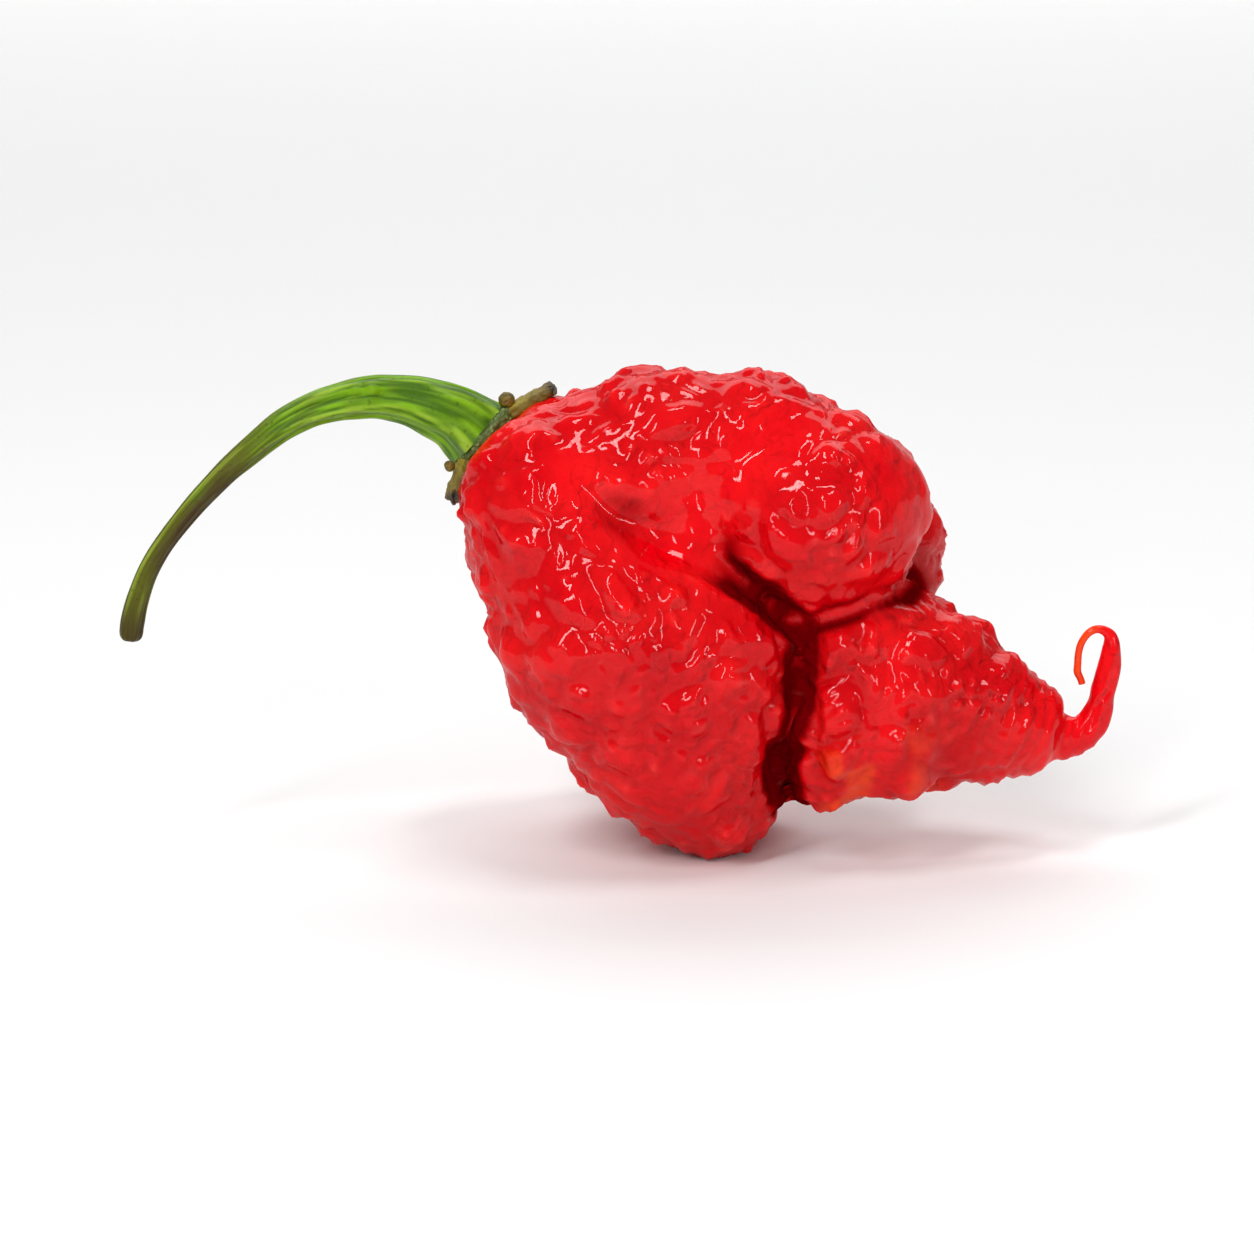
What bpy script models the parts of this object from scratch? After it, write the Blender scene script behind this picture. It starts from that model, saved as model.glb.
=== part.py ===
"""A carolina reaper pepper as picked: a lobed, blistered pod with a hooked tail, its calyx and its stem.

The form is worked out in millimetres and written to the meshes in metres. +X runs from the stem
towards the tail and +Z is up. The origin is on the flat spot that the pod rests on, under its weight.
"""

import itertools

import bpy
import numpy as np

MM = 0.001

# Driving sizes, in millimetres
GAP = 0.3               # clearance between two pieces that grow against each other
BLISTER = 4.6           # width of one blister of the skin
BLISTER_HEIGHT = 0.95   # how far a blister stands out of the skin
TAIL_BLISTER = 1.25     # how much higher the blisters are on the tail
SEAT = (-19.5, 0.3, 36.7)           # middle of the face that the pod turns to its calyx
SEAT_BARE = (5.0, 9.0)              # the skin is smooth inside the first radius, blistered past the second
STALK_LEAN = 42.0                   # degrees that the calyx's axis stands above the level
CALYX_RADIUS = 3.7
CALYX_THICKNESS = 1.3
STEM_RIBS = 5
STEM_RIB_DEPTH = 0.06   # share of the stem's radius
STEM_WART = 0.5

# How finely the surfaces are cut
POD_SIDES = 104
FAN_RINGS = 10
BODY_RINGS = 48
STINGER_RINGS = 24
STEM_SIDES = 30
STEM_RINGS = 36
CALYX_SIDES = 60
MARCH_STEPS = 70
BISECTIONS = 12
RELAXATIONS = 70
IRONINGS = 16

# The pod's lobes: how softly each runs into the ones before it, then the balls (x, y, z, radius)
# that it is drawn over, one after the other.
LOBES = {
    "core": (2.5, [(-11.0, 1.5, 28.0, 8.5), (-2.0, 2.5, 22.0, 11.0), (9.0, 1.5, 19.0, 8.5)]),
    "neck": (2.5, [(-15.2, 0.5, 31.6, 6.9), (-12.5, 1.0, 30.5, 8.0)]),
    "front": (1.2, [
        (-15.0, -4.8, 32.2, 7.5),
        (-8.5, -6.5, 20.0, 10.2),
        (-3.6, -6.2, 11.5, 8.3),
        (0.2, -4.8, 5.9, 6.4),
    ]),
    "front right": (1.4, [
        (-8.0, -6.2, 25.0, 8.4),
        (-1.0, -6.8, 19.6, 8.1),
        (-0.9, -6.8, 15.5, 7.7),
        (-2.0, -6.2, 9.0, 6.4),
    ]),
    "shoulder": (1.8, [(-13.2, -0.5, 35.0, 5.8), (-8.0, -1.0, 35.8, 6.7)]),
    "bridge": (3.0, [(-13.0, -4.0, 33.8, 6.2), (-8.0, -5.0, 33.0, 6.0), (-3.5, -5.5, 31.0, 5.8)]),
    "knob": (2.4, [(-5.0, -3.5, 37.6, 6.4), (-1.0, -2.5, 37.6, 6.0)]),
    "upper": (1.2, [
        (-1.0, -4.0, 33.2, 5.0),
        (3.6, -3.0, 35.0, 8.0),
        (9.0, -4.9, 31.2, 9.0),
        (14.0, -3.5, 31.8, 5.6),
    ]),
    "tail": (1.0, [
        (16.4, -3.0, 15.4, 9.0),
        (21.4, -3.0, 13.4, 6.8),
        (25.6, -3.0, 12.1, 4.6),
        (28.4, -3.0, 11.3, 3.4),
        (30.9, -3.0, 10.4, 2.4),
        (32.6, -3.0, 10.2, 1.8),
    ]),
    "left lobule": (0.8, [(12.9, -5.6, 18.8, 6.6), (12.6, -6.4, 12.4, 5.8), (10.3, -6.4, 7.9, 3.7)]),
    "right lobule": (0.7, [(15.8, -5.6, 12.6, 6.8), (15.6, -6.6, 9.6, 4.4)]),
    "back right": (1.4, [(15.2, 8.0, 26.3, 6.4), (13.5, 8.0, 18.5, 7.0)]),
    "back low": (1.6, [(-15.0, 5.5, 27.0, 7.6), (-5.0, 8.5, 14.0, 10.2), (1.6, 5.8, 5.9, 6.4)]),
    "back top": (1.8, [(-12.0, 5.5, 33.0, 6.8), (2.0, 7.5, 29.5, 9.2), (11.0, 6.5, 27.0, 8.2)]),
    "heel": (1.5, [(0.6, 0.6, 5.6, 6.4), (1.0, 1.0, 9.0, 7.0)]),
}
CHAIN_BLEND = 2.5
SEAT_TROUGH = 4.5       # half width of the trough that the calyx lies in
SWING_RADIUS = 22.0
LONGEST_MOVE = 0.6      # how far a point of the skin may be drawn at once

# The folds between the lobes: depth, width, then the line (x, y, z) that each follows.
FOLDS = {
    "valley": (1.4, 2.4, [(-13.0, -8.5, 34.8), (-8.4, -10.5, 32.2), (-4.6, -11.5, 30.2)]),
    "crease": (0.9, 1.4, [(-4.0, -11.0, 30.4), (0.4, -11.5, 27.2), (6.6, -10.0, 22.8)]),
    "cleft": (0.7, 0.9, [(7.2, -8.4, 21.5), (6.9, -8.0, 16.0), (6.2, -7.0, 9.5)]),
    "tuck": (0.5, 1.0, [(8.0, -8.6, 22.8), (12.6, -8.6, 25.2), (18.4, -5.5, 28.2)]),
    "groove": (0.9, 1.2, [(15.6, -11.0, 22.5), (16.0, -12.6, 16.0), (14.4, -12.4, 10.5), (13.2, -10.0, 6.5)]),
    "saddle": (1.4, 2.6, [(-4.0, -11.0, 30.5), (1.0, -11.5, 35.5), (5.5, -10.0, 39.5)]),
}

# Stations along the pod's spine: x, y, z, pitch of the ring's normal in degrees, radius, reach.
SPINE = [
    (-14.0, 0.5, 31.5, -42.0, 9.0, 30.0),
    (-8.0, 0.3, 27.5, -38.0, 9.0, 30.0),
    (-3.0, 0.0, 24.0, -32.0, 9.0, 30.0),
    (1.5, -0.8, 21.5, -24.0, 9.0, 30.0),
    (5.5, -1.2, 20.0, -15.0, 9.0, 30.0),
    (8.5, -1.5, 19.5, -11.0, 9.0, 30.0),
    (9.7, -1.8, 18.3, -17.0, 9.0, 30.0),
    (10.6, -2.0, 18.0, -23.0, 9.0, 30.0),
    (11.2, -2.2, 17.6, -30.0, 9.0, 30.0),
    (12.7, -2.4, 16.2, -27.0, 9.0, 28.0),
    (14.9, -2.7, 15.0, -26.0, 9.0, 24.0),
    (18.2, -3.0, 14.4, -22.0, 8.0, 18.0),
    (22.0, -3.0, 13.4, -20.0, 6.5, 11.0),
    (25.8, -3.0, 12.1, -18.0, 4.5, 8.0),
    (28.6, -3.0, 11.3, -18.0, 3.35, 6.0),
    (31.0, -3.0, 10.5, -14.0, 2.4, 4.0),
]
STINGER = [
    (32.9, -3.0, 10.5, 8.0, 1.75, 3.0),
    (34.2, -3.0, 11.6, 52.0, 1.45, 3.0),
    (34.9, -3.0, 13.4, 72.0, 1.25, 3.0),
    (35.2, -3.0, 15.2, 80.0, 1.15, 3.0),
    (35.6, -3.0, 17.0, 80.0, 1.05, 3.0),
    (35.8, -3.0, 18.6, 90.0, 0.85, 3.0),
    (35.6, -3.0, 19.8, 122.0, 0.58, 3.0),
    (34.7, -3.0, 20.3, 170.0, 0.40, 3.0),
    (33.8, -3.0, 20.0, 215.0, 0.37, 3.0),
    (33.1, -3.0, 19.0, 245.0, 0.36, 3.0),
    (32.8, -3.0, 17.6, 268.0, 0.35, 3.0),
    (32.9, -3.0, 16.3, 280.0, 0.34, 3.0),
    (33.2, -3.0, 15.3, 285.0, 0.30, 3.0),
]

# The stem's middle line and its radius, from the calyx out to the cut end: x, y, z, radius.
STEM = [
    (-21.2, 0.3, 37.7, 3.15),
    (-22.6, 0.2, 39.0, 2.85),
    (-25.1, 0.1, 40.0, 2.45),
    (-27.8, 0.0, 40.7, 2.05),
    (-30.5, -0.2, 40.8, 1.80),
    (-33.2, -0.4, 40.4, 1.60),
    (-35.9, -0.7, 39.6, 1.40),
    (-38.5, -1.0, 38.2, 1.28),
    (-40.9, -1.3, 36.3, 1.15),
    (-43.5, -1.6, 34.0, 1.02),
    (-46.0, -2.0, 31.4, 0.92),
    (-48.3, -2.3, 28.6, 0.86),
    (-50.1, -2.6, 25.8, 0.88),
    (-51.2, -2.8, 23.0, 0.94),
    (-51.7, -2.9, 20.9, 1.02),
    (-51.9, -3.0, 19.2, 1.00),
]
STEM_WART_PLACE = (-29.5, -1.5, 42.3)

# The calyx's dried lobes: angle round its rim from the top, towards the viewer, then length, half width
# in degrees, and how far it droops for each millimetre of its length.
SEPALS = [
    (4.0, 3.4, 20.0, 0.30),
    (88.0, 0.6, 12.0, 0.0),
    (154.0, 2.4, 16.0, 0.25),
    (196.0, 2.8, 15.0, 0.42),
    (246.0, 1.2, 17.0, 0.25),
    (305.0, 1.6, 19.0, 0.25),
]
SEPAL_KNOBS = [(14.0, 3.8, 0.85), (143.0, 4.7, 0.75)]

# The scatter that the blisters grow from
SCATTER_KEYS = np.array([73856093, 19349663, 83492791], dtype=np.int64)
SCATTER_MIX = 1274126177
SCATTER_RANGE = 0xFFFFFF
SCATTER_SPREAD = 0.8    # how far a blister's middle may leave the middle of its cell


def unit(lean):
    """The direction in the XZ plane that leans back towards the stem, this many degrees above the level."""
    angle = np.radians(lean)
    return np.array([-np.cos(angle), 0.0, np.sin(angle)])


def smooth_step(x):
    x = np.clip(x, 0.0, 1.0)
    return x * x * (3.0 - 2.0 * x)


def soft_union(a, b, blend):
    near = np.maximum(blend - np.abs(a - b), 0.0) / blend
    return np.minimum(a, b) - near * near * blend * 0.25


def ball_pair(p, first, last):
    """Distance to the skin drawn tight over two balls."""
    start, end = np.array(first[:3]), np.array(last[:3])
    along = end - start
    length2 = along @ along
    fall = first[3] - last[3]
    slant2 = length2 - fall * fall
    from_start = p - start
    y = from_start @ along
    z = y - length2
    aside = from_start * length2 - y[..., None] * along
    x2 = np.einsum("...i,...i->...", aside, aside)
    y2 = y * y * length2
    z2 = z * z * length2
    k = np.sign(fall) * fall * fall * x2
    past_end = np.sqrt(x2 + z2) / length2 - last[3]
    before_start = np.sqrt(x2 + y2) / length2 - first[3]
    between = (np.sqrt(x2 * slant2 / length2) + y * fall) / length2 - first[3]
    at_end = np.sign(z) * slant2 * z2 > k
    at_start = np.sign(y) * slant2 * y2 < k
    return np.where(at_end, past_end, np.where(at_start, before_start, between))


def line_distance(p, line):
    nearest = None
    for start, end in itertools.pairwise(np.array(line)):
        run = end - start
        t = np.clip((p - start) @ run / (run @ run), 0.0, 1.0)
        distance = np.linalg.norm(p - start - t[..., None] * run, axis=-1)
        nearest = distance if nearest is None else np.minimum(nearest, distance)
    return nearest


def above_seat(p):
    """Height over the face that carries the calyx, which rises in front of it and behind it."""
    from_seat = p - np.array(SEAT)
    return from_seat @ unit(STALK_LEAN) - np.maximum(np.abs(from_seat[..., 1]) - SEAT_TROUGH, 0.0)


def pod_distance(p):
    """Roughly how far a point is outside the pod's bare form, and negative inside it."""
    body = None
    for blend, balls in LOBES.values():
        lobe = None
        for first, last in itertools.pairwise(balls):
            part = ball_pair(p, first, last)
            lobe = part if lobe is None else soft_union(lobe, part, CHAIN_BLEND)
        body = lobe if body is None else soft_union(body, lobe, blend)
    for depth, width, line in FOLDS.values():
        body = body + depth * np.exp(-(line_distance(p, line) / width) ** 2)
    return -soft_union(-body, -above_seat(p), 0.6)


def slope(p, step=0.05):
    change = np.empty_like(p)
    for axis in range(3):
        move = np.zeros(3)
        move[axis] = step
        change[..., axis] = (pod_distance(p + move) - pod_distance(p - move)) / (2 * step)
    return change


def smooth_rows(rows, t):
    """Rows read at places t, counted in rows, from a smooth curve through them."""
    rows = np.asarray(rows, float)
    last = len(rows) - 1
    i = np.clip(np.floor(t).astype(int), 0, last - 1)
    f = (t - i).reshape(-1, *([1] * (rows.ndim - 1)))
    a, b, c, d = (rows[np.clip(i + k, 0, last)] for k in (-1, 0, 1, 2))
    return 0.5 * (2 * b + (c - a) * f + (2 * a - 5 * b + 4 * c - d) * f**2 + (3 * b - 3 * c + d - a) * f**3)


def pod_rings():
    """Each ring's station on the spine and the angle of its rays, from the calyx to the hook's tip.

    Rings are spread evenly by how far the spine runs and how far its rings turn.
    """
    body_end = len(SPINE) - 1
    tip = len(SPINE) + len(STINGER) - 1
    spine = np.array(SPINE)
    run = np.linalg.norm(np.diff(spine[:, :3], axis=0), axis=1)
    swing = np.abs(np.diff(np.radians(spine[:, 3]))) * SWING_RADIUS
    passed = np.concatenate([[0.0], np.cumsum(run + swing)])
    body = np.interp(np.linspace(1.2, passed[-1], BODY_RINGS), passed, np.arange(len(spine)))
    thin = np.linspace(body_end, tip, STINGER_RINGS + 1)[1:]
    places = np.concatenate([np.zeros(FAN_RINGS), body, thin])
    rays = np.full(len(places), 90.0)
    rays[:FAN_RINGS] = np.linspace(178.0, 96.0, FAN_RINGS)
    return smooth_rows(SPINE + STINGER, places), np.radians(rays)


def bare_pod():
    """The pod's bare form as rings of points: the furthest point of the form along each ray from its spine."""
    stations, rays = pod_rings()
    centre = stations[:, :3]
    pitch = np.radians(stations[:, 3])
    ahead = np.stack([np.cos(pitch), 0 * pitch, np.sin(pitch)], 1)
    across = np.array([0.0, 1.0, 0.0])
    up = np.cross(ahead, across)
    turn = np.arange(POD_SIDES) * 2 * np.pi / POD_SIDES
    ring = np.cos(turn)[None, :, None] * across + np.sin(turn)[None, :, None] * up[:, None]
    ray = np.cos(rays)[:, None, None] * ahead[:, None] + np.sin(rays)[:, None, None] * ring
    reach = stations[:, 5][:, None]
    steps = np.linspace(0.0, 1.0, MARCH_STEPS)
    points = centre[:, None, None] + ray[:, :, None] * (steps * reach[..., None])[..., None]
    inside = pod_distance(points) < 0
    last = MARCH_STEPS - 1 - np.argmax(inside[:, :, ::-1], axis=2)
    near = steps[last] * reach
    far = steps[np.minimum(last + 1, MARCH_STEPS - 1)] * reach
    for _ in range(BISECTIONS):
        middle = (near + far) / 2
        within = pod_distance(centre[:, None] + ray * middle[..., None]) < 0
        near = np.where(within, middle, near)
        far = np.where(within, far, middle)
    swept = smooth_step((np.arange(len(stations)) - (FAN_RINGS + BODY_RINGS - 8)) / 7.0)[:, None]
    radius = near * (1 - swept) + stations[:, 4][:, None] * swept
    return centre[:, None] + ray * radius[..., None], swept


def settle(grid, swept):
    """Spreads the points evenly over the form, which draws them into the folds that no ray reaches."""
    free = (1 - swept)[..., None]
    hold = np.ones_like(free)
    hold[:2] = 0
    for i in range(RELAXATIONS):
        along = grid.copy()
        along[1:-1] = (grid[2:] + grid[:-2]) / 2
        around = (np.roll(grid, 1, 1) + np.roll(grid, -1, 1)) / 2
        grid = grid + (0.5 * (around + along) - grid) * 0.5 * free * hold
        rise = slope(grid)
        steep = np.einsum("...i,...i->...", rise, rise) + 1e-9
        move = (pod_distance(grid) / steep)[..., None] * rise
        length = np.linalg.norm(move, axis=-1, keepdims=True) + 1e-9
        move = move * np.minimum(1.0, LONGEST_MOVE / length)
        if i >= RELAXATIONS - IRONINGS:
            # The last rounds leave the points loose where the skin faces away from the form's slope.
            agree = np.einsum("...i,...i->...", facing(grid), rise) / np.sqrt(steep)
            move = move * smooth_step((agree - 0.2) / 0.5)[..., None]
        grid = grid - move * free
    return grid


def facing(grid):
    """The outward direction at every point of a grid of rings."""
    along = np.gradient(grid, axis=0)
    around = np.roll(grid, -1, 1) - np.roll(grid, 1, 1)
    out = np.cross(around, along)
    return out / (np.linalg.norm(out, axis=-1, keepdims=True) + 1e-9)


def scatter(cell):
    """Three numbers from 0 to 1 for a whole-numbered cell, always the same ones."""
    mixed = cell @ SCATTER_KEYS
    numbers = []
    for _ in range(3):
        mixed = ((mixed ^ (mixed >> 13)) * SCATTER_MIX) & 0x7FFFFFFF
        numbers.append((mixed & SCATTER_RANGE) / SCATTER_RANGE)
    return np.stack(numbers, -1)


def nearest_two(p, size):
    """Distances to the two nearest scattered middles, counted in cells of this size."""
    q = p / size
    home = np.floor(q).astype(np.int64)
    first = np.full(q.shape[:-1], 9.0)
    second = first.copy()
    for step in itertools.product((-1, 0, 1), repeat=3):
        cell = home + np.array(step)
        middle = cell + 0.5 + SCATTER_SPREAD * (scatter(cell) - 0.5)
        distance = np.linalg.norm(q - middle, axis=-1)
        second = np.minimum(second, np.maximum(first, distance))
        first = np.minimum(first, distance)
    return first, second


def blisters(p, size):
    """Height from 0 to 1 of rounded blisters that crowd the skin, with narrow valleys between them."""
    bent = p + 0.22 * size * np.sin(p[..., [1, 2, 0]] * (2.1 / size) + np.array([0.3, 1.7, 4.0]))
    first, second = nearest_two(bent, size)
    return smooth_step((second - first) / 0.55) * (1.0 - 0.45 * np.minimum(first, 1.0) ** 2)


def smoothness(grid, swept):
    """How much of the relief each point keeps: none round the calyx, little in the folds and on the stinger."""
    from_seat = np.linalg.norm(grid - np.array(SEAT), axis=-1)
    keep = smooth_step((from_seat - SEAT_BARE[0]) / (SEAT_BARE[1] - SEAT_BARE[0]))
    for _, width, line in FOLDS.values():
        keep = keep * (0.25 + 0.75 * smooth_step(line_distance(grid, line) / (2.4 * width)))
    taut = np.linalg.norm((grid - np.array([15.0, -7.0, 33.0])) / np.array([5.5, 6.0, 6.0]), axis=-1)
    keep = keep * (0.3 + 0.7 * smooth_step((taut - 0.7) / 0.6))
    on_tail = smooth_step((grid[..., 0] - 6.0) / 4.0) * smooth_step((26.0 - grid[..., 2]) / 4.0)
    return keep * (1.0 + (TAIL_BLISTER - 1.0) * on_tail) * (1.0 - 0.85 * swept)


def ring_faces(sides):
    """Faces between rings of points, where a ring may have half or twice as many as the one before it."""
    starts = np.concatenate([[0], np.cumsum(sides)])
    faces = []
    for i, (here, there) in enumerate(itertools.pairwise(sides)):
        a, b = starts[i], starts[i + 1]
        if here == there:
            faces += [(a + j, a + (j + 1) % here, b + (j + 1) % here, b + j) for j in range(here)]
            continue
        few = min(here, there)
        for j in range(few):
            k = (j + 1) % few
            fine = [2 * j, 2 * j + 1, 2 * k]
            if here < there:
                faces += [(a + j, b + fine[1], b + fine[0]), (a + j, a + k, b + fine[1])]
                faces += [(a + k, b + fine[2], b + fine[1])]
            else:
                faces += [(a + fine[0], a + fine[1], b + j), (a + fine[1], b + k, b + j)]
                faces += [(a + fine[1], a + fine[2], b + k)]
    first = tuple(reversed(range(sides[0])))
    last = tuple(range(starts[-2], starts[-1]))
    return faces + [first, last]


def solid(name, rings, material):
    """One closed object from rings of points in millimetres."""
    points = np.concatenate(rings) * MM
    mesh = bpy.data.meshes.new(name)
    mesh.from_pydata(points.tolist(), [], ring_faces([len(ring) for ring in rings]))
    mesh.materials.append(material)
    mesh.shade_smooth()
    built = bpy.data.objects.new(name, mesh)
    bpy.context.scene.collection.objects.link(built)
    return built


def paint(name, colour, roughness):
    material = bpy.data.materials.new(name)
    material.use_nodes = True
    shader = material.node_tree.nodes["Principled BSDF"]
    shader.inputs["Base Color"].default_value = (*colour, 1.0)
    shader.inputs["Roughness"].default_value = roughness
    shader.inputs["Metallic"].default_value = 0.0
    return material


def pod():
    """The fruit: lobes run together, blistered, drawn out into a tail that hooks up and back at its tip."""
    grid, swept = bare_pod()
    grid = settle(grid, swept)
    rise = slope(grid)
    steep = np.minimum(np.linalg.norm(rise, axis=-1, keepdims=True), 1.0)
    free = (1 - swept)[..., None]
    out = rise * free + facing(grid) * (1 - steep * free)
    out /= np.linalg.norm(out, axis=-1, keepdims=True)
    # Where two lobes meet, the slope is gentle and the skin has no room to blister.
    room = 0.3 + 0.7 * smooth_step((steep[..., 0] - 0.5) / 0.4)
    height = BLISTER_HEIGHT * (blisters(grid, BLISTER) - 0.5) * smoothness(grid, swept) * room
    grid = grid + out * height[..., None]
    grid = grid - np.maximum(above_seat(grid), 0.0)[..., None] * unit(STALK_LEAN)
    grid[..., 2] = np.maximum(grid[..., 2], 0.0)
    step = np.ones(len(grid), int)
    step[:5] = 2
    step[:2] = 4
    step[FAN_RINGS + BODY_RINGS - 14:] = 2
    step[FAN_RINGS + BODY_RINGS:] = 4
    rings = [ring[::every] for ring, every in zip(grid, step)]
    return solid("pod", rings, paint("red skin", (0.72, 0.01, 0.012), 0.3))


def stem():
    """A ribbed stalk, widest where it meets the calyx and a little swollen at its cut end."""
    places = np.linspace(0, len(STEM) - 1, STEM_RINGS)
    rows = smooth_rows(STEM, places)
    ahead = np.gradient(rows[:, :3], axis=0)
    ahead /= np.linalg.norm(ahead, axis=1, keepdims=True)
    turned = smooth_step(places / 1.6)[:, None]
    ahead = unit(STALK_LEAN) * (1 - turned) + ahead * turned
    ahead /= np.linalg.norm(ahead, axis=1, keepdims=True)
    side = np.cross(ahead, [0.0, 1.0, 0.0])
    side /= np.linalg.norm(side, axis=1, keepdims=True)
    other = np.cross(ahead, side)
    turn = np.arange(STEM_SIDES) * 2 * np.pi / STEM_SIDES
    twist = turn[None] + 0.25 * places[:, None] / len(STEM)
    ribbed = 1 + STEM_RIB_DEPTH * np.cos(STEM_RIBS * twist)
    ends = np.ones(len(places))
    ends[-1] = 0.72
    radius = (rows[:, 3] * ends)[:, None] * ribbed
    grid = rows[:, None, :3] + radius[..., None] * (
        np.cos(turn)[None, :, None] * side[:, None] + np.sin(turn)[None, :, None] * other[:, None]
    )
    from_wart = np.linalg.norm(grid - np.array(STEM_WART_PLACE), axis=-1)
    grid = grid + facing(grid) * (STEM_WART * np.exp(-(from_wart / 1.1) ** 2))[..., None]
    return solid("stem", list(grid), paint("green stem", (0.16, 0.30, 0.02), 0.45))


def calyx():
    """A thin green cap between pod and stem, with dried lobes that stand out from its rim."""
    axis = unit(STALK_LEAN)
    top = np.array([axis[2], 0.0, -axis[0]])
    front = np.array([0.0, -1.0, 0.0])
    turn = np.arange(CALYX_SIDES) * 2 * np.pi / CALYX_SIDES
    reach = np.zeros(CALYX_SIDES)
    droop = np.zeros(CALYX_SIDES)
    for angle, length, half_width, sag in SEPALS:
        off = np.abs((np.degrees(turn) - angle + 180.0) % 360.0 - 180.0)
        lobe = length * smooth_step((half_width - off) / 9.0 + 0.5)
        droop = np.where(lobe > reach, sag, droop)
        reach = np.maximum(reach, lobe)
    lobed = reach / (reach + 1.0)
    # How far out each ring is, of the cap's radius and of its lobes, and how high it lies.
    profile = [
        (0.30, 0.0, 0.00, 0.0),
        (0.75, 0.0, 0.00, 0.0),
        (1.00, 0.45, 0.00, 0.0),
        (1.00, 0.95, 0.02, 0.0),
        (1.03, 1.00, 0.45, 0.0),
        (1.00, 0.95, 0.82, 0.1),
        (0.98, 0.45, 0.95, 0.1),
        (0.90, 0.05, 1.00, 0.0),
        (0.60, 0.0, 1.00, 0.0),
        (0.30, 0.0, 1.00, 0.0),
    ]
    foot = np.array(SEAT) + axis * GAP
    rings = []
    for of_cap, of_lobe, level, swell in profile:
        radius = CALYX_RADIUS * of_cap + reach * of_lobe
        up = CALYX_THICKNESS * level + swell * lobed - droop * np.maximum(radius - CALYX_RADIUS, 0.0)
        for angle, out, rise in SEPAL_KNOBS:
            if level > 0.5:
                off = np.abs((np.degrees(turn) - angle + 180.0) % 360.0 - 180.0) * np.pi / 180.0 * radius
                up = up + rise * np.exp(-((off / 0.9) ** 2) - ((radius - out) / 0.75) ** 2)
        ring = np.cos(turn)[:, None] * top + np.sin(turn)[:, None] * front
        points = foot + radius[:, None] * ring + up[:, None] * axis
        rings.append(points[::-1])
    return solid("calyx", rings, paint("dry calyx", (0.13, 0.11, 0.02), 0.6))


for old in list(bpy.data.objects):
    bpy.data.objects.remove(old)
pod()
calyx()
stem()
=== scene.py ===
"""The looks of a carolina reaper pepper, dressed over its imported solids.

The three parts that grew are made here as surfaces on grids of points: the blistered pod, the calyx with
its dried lobes, and the ribbed stem. Lengths in the shape formulas are millimetres in the solids' own
frame, and are turned into metres when a mesh is written.
"""

import itertools
import logging
from collections.abc import Sequence
from dataclasses import dataclass
from enum import Enum

import bpy
import numpy as np
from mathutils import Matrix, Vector


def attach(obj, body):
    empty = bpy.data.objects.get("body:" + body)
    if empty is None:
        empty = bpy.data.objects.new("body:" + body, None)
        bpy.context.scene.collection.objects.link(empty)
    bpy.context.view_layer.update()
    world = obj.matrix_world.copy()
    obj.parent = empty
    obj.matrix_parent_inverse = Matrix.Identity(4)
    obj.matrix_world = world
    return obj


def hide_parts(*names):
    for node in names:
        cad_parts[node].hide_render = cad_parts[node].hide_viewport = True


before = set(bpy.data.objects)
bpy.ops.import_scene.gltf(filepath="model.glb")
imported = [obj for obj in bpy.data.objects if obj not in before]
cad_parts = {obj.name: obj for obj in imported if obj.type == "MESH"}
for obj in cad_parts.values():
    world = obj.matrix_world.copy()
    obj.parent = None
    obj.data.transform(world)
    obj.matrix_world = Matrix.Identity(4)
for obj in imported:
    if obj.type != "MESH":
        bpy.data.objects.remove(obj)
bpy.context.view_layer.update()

MM = 0.001
LOG = logging.getLogger("pepper")
Array = np.ndarray
Colour = tuple[float, float, float]
Place = tuple[float, float, float]

# The pepper's middle in metres, which the camera and the lights face
PEPPER: Place = (-0.0075, -0.003, 0.0205)

# The scatter that blisters, grain and mottling grow from
SCATTER_KEYS = np.array([73856093, 19349663, 83492791], dtype=np.int64)
SCATTER_MIX = 1274126177
SCATTER_WORD = 0x7FFFFFFF
SCATTER_RANGE = 0xFFFFFF
SCATTER_SPREAD = 0.8


class Solid(Enum):
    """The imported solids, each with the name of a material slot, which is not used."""

    POD = ("pod", "skin")
    CALYX = ("calyx", "calyx")
    STEM = ("stem", "stem")


class Arithmetic(Enum):
    """The arithmetic that a finish uses."""

    PLUS = "ADD"
    MINUS = "SUBTRACT"
    TIMES = "MULTIPLY"
    SIZE = "ABSOLUTE"


def smooth_step(x: Array) -> Array:
    """Runs from 0 to 1 as 3x^2 - 2x^3, flat at both ends.

    Args:
        x: values, held between 0 and 1.

    Returns:
        The eased values.
    """
    x = np.clip(x, 0.0, 1.0)
    return x * x * (3.0 - 2.0 * x)


def ramp(x: Array, start: float, run: float) -> Array:
    """Eases from 0 at the start to 1 one run further on, or one run further back where it is negative.

    Args:
        x: values.
        start: where it leaves 0.
        run: how far on it reaches 1.

    Returns:
        Shares from 0 to 1.
    """
    return smooth_step((x - start) / run)


def soft_union(a: Array, b: Array, blend: float) -> Array:
    """The lesser of two distances, with the corner between them rounded by a parabola.

    Args:
        a: first distances.
        b: second distances.
        blend: width of the rounded corner in millimetres.

    Returns:
        The joined distances.
    """
    near = np.maximum(blend - np.abs(a - b), 0.0) / blend
    return np.minimum(a, b) - near * near * blend * 0.25


def leaning(lean: float) -> Array:
    """The direction in the XZ plane that points back over the stem, this many degrees above level."""
    angle = np.radians(lean)
    return np.array([-np.cos(angle), 0.0, np.sin(angle)])


def unit(v: Array) -> Array:
    """Vectors of length one along v."""
    return v / (np.linalg.norm(v, axis=-1, keepdims=True) + 1e-9)


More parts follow.
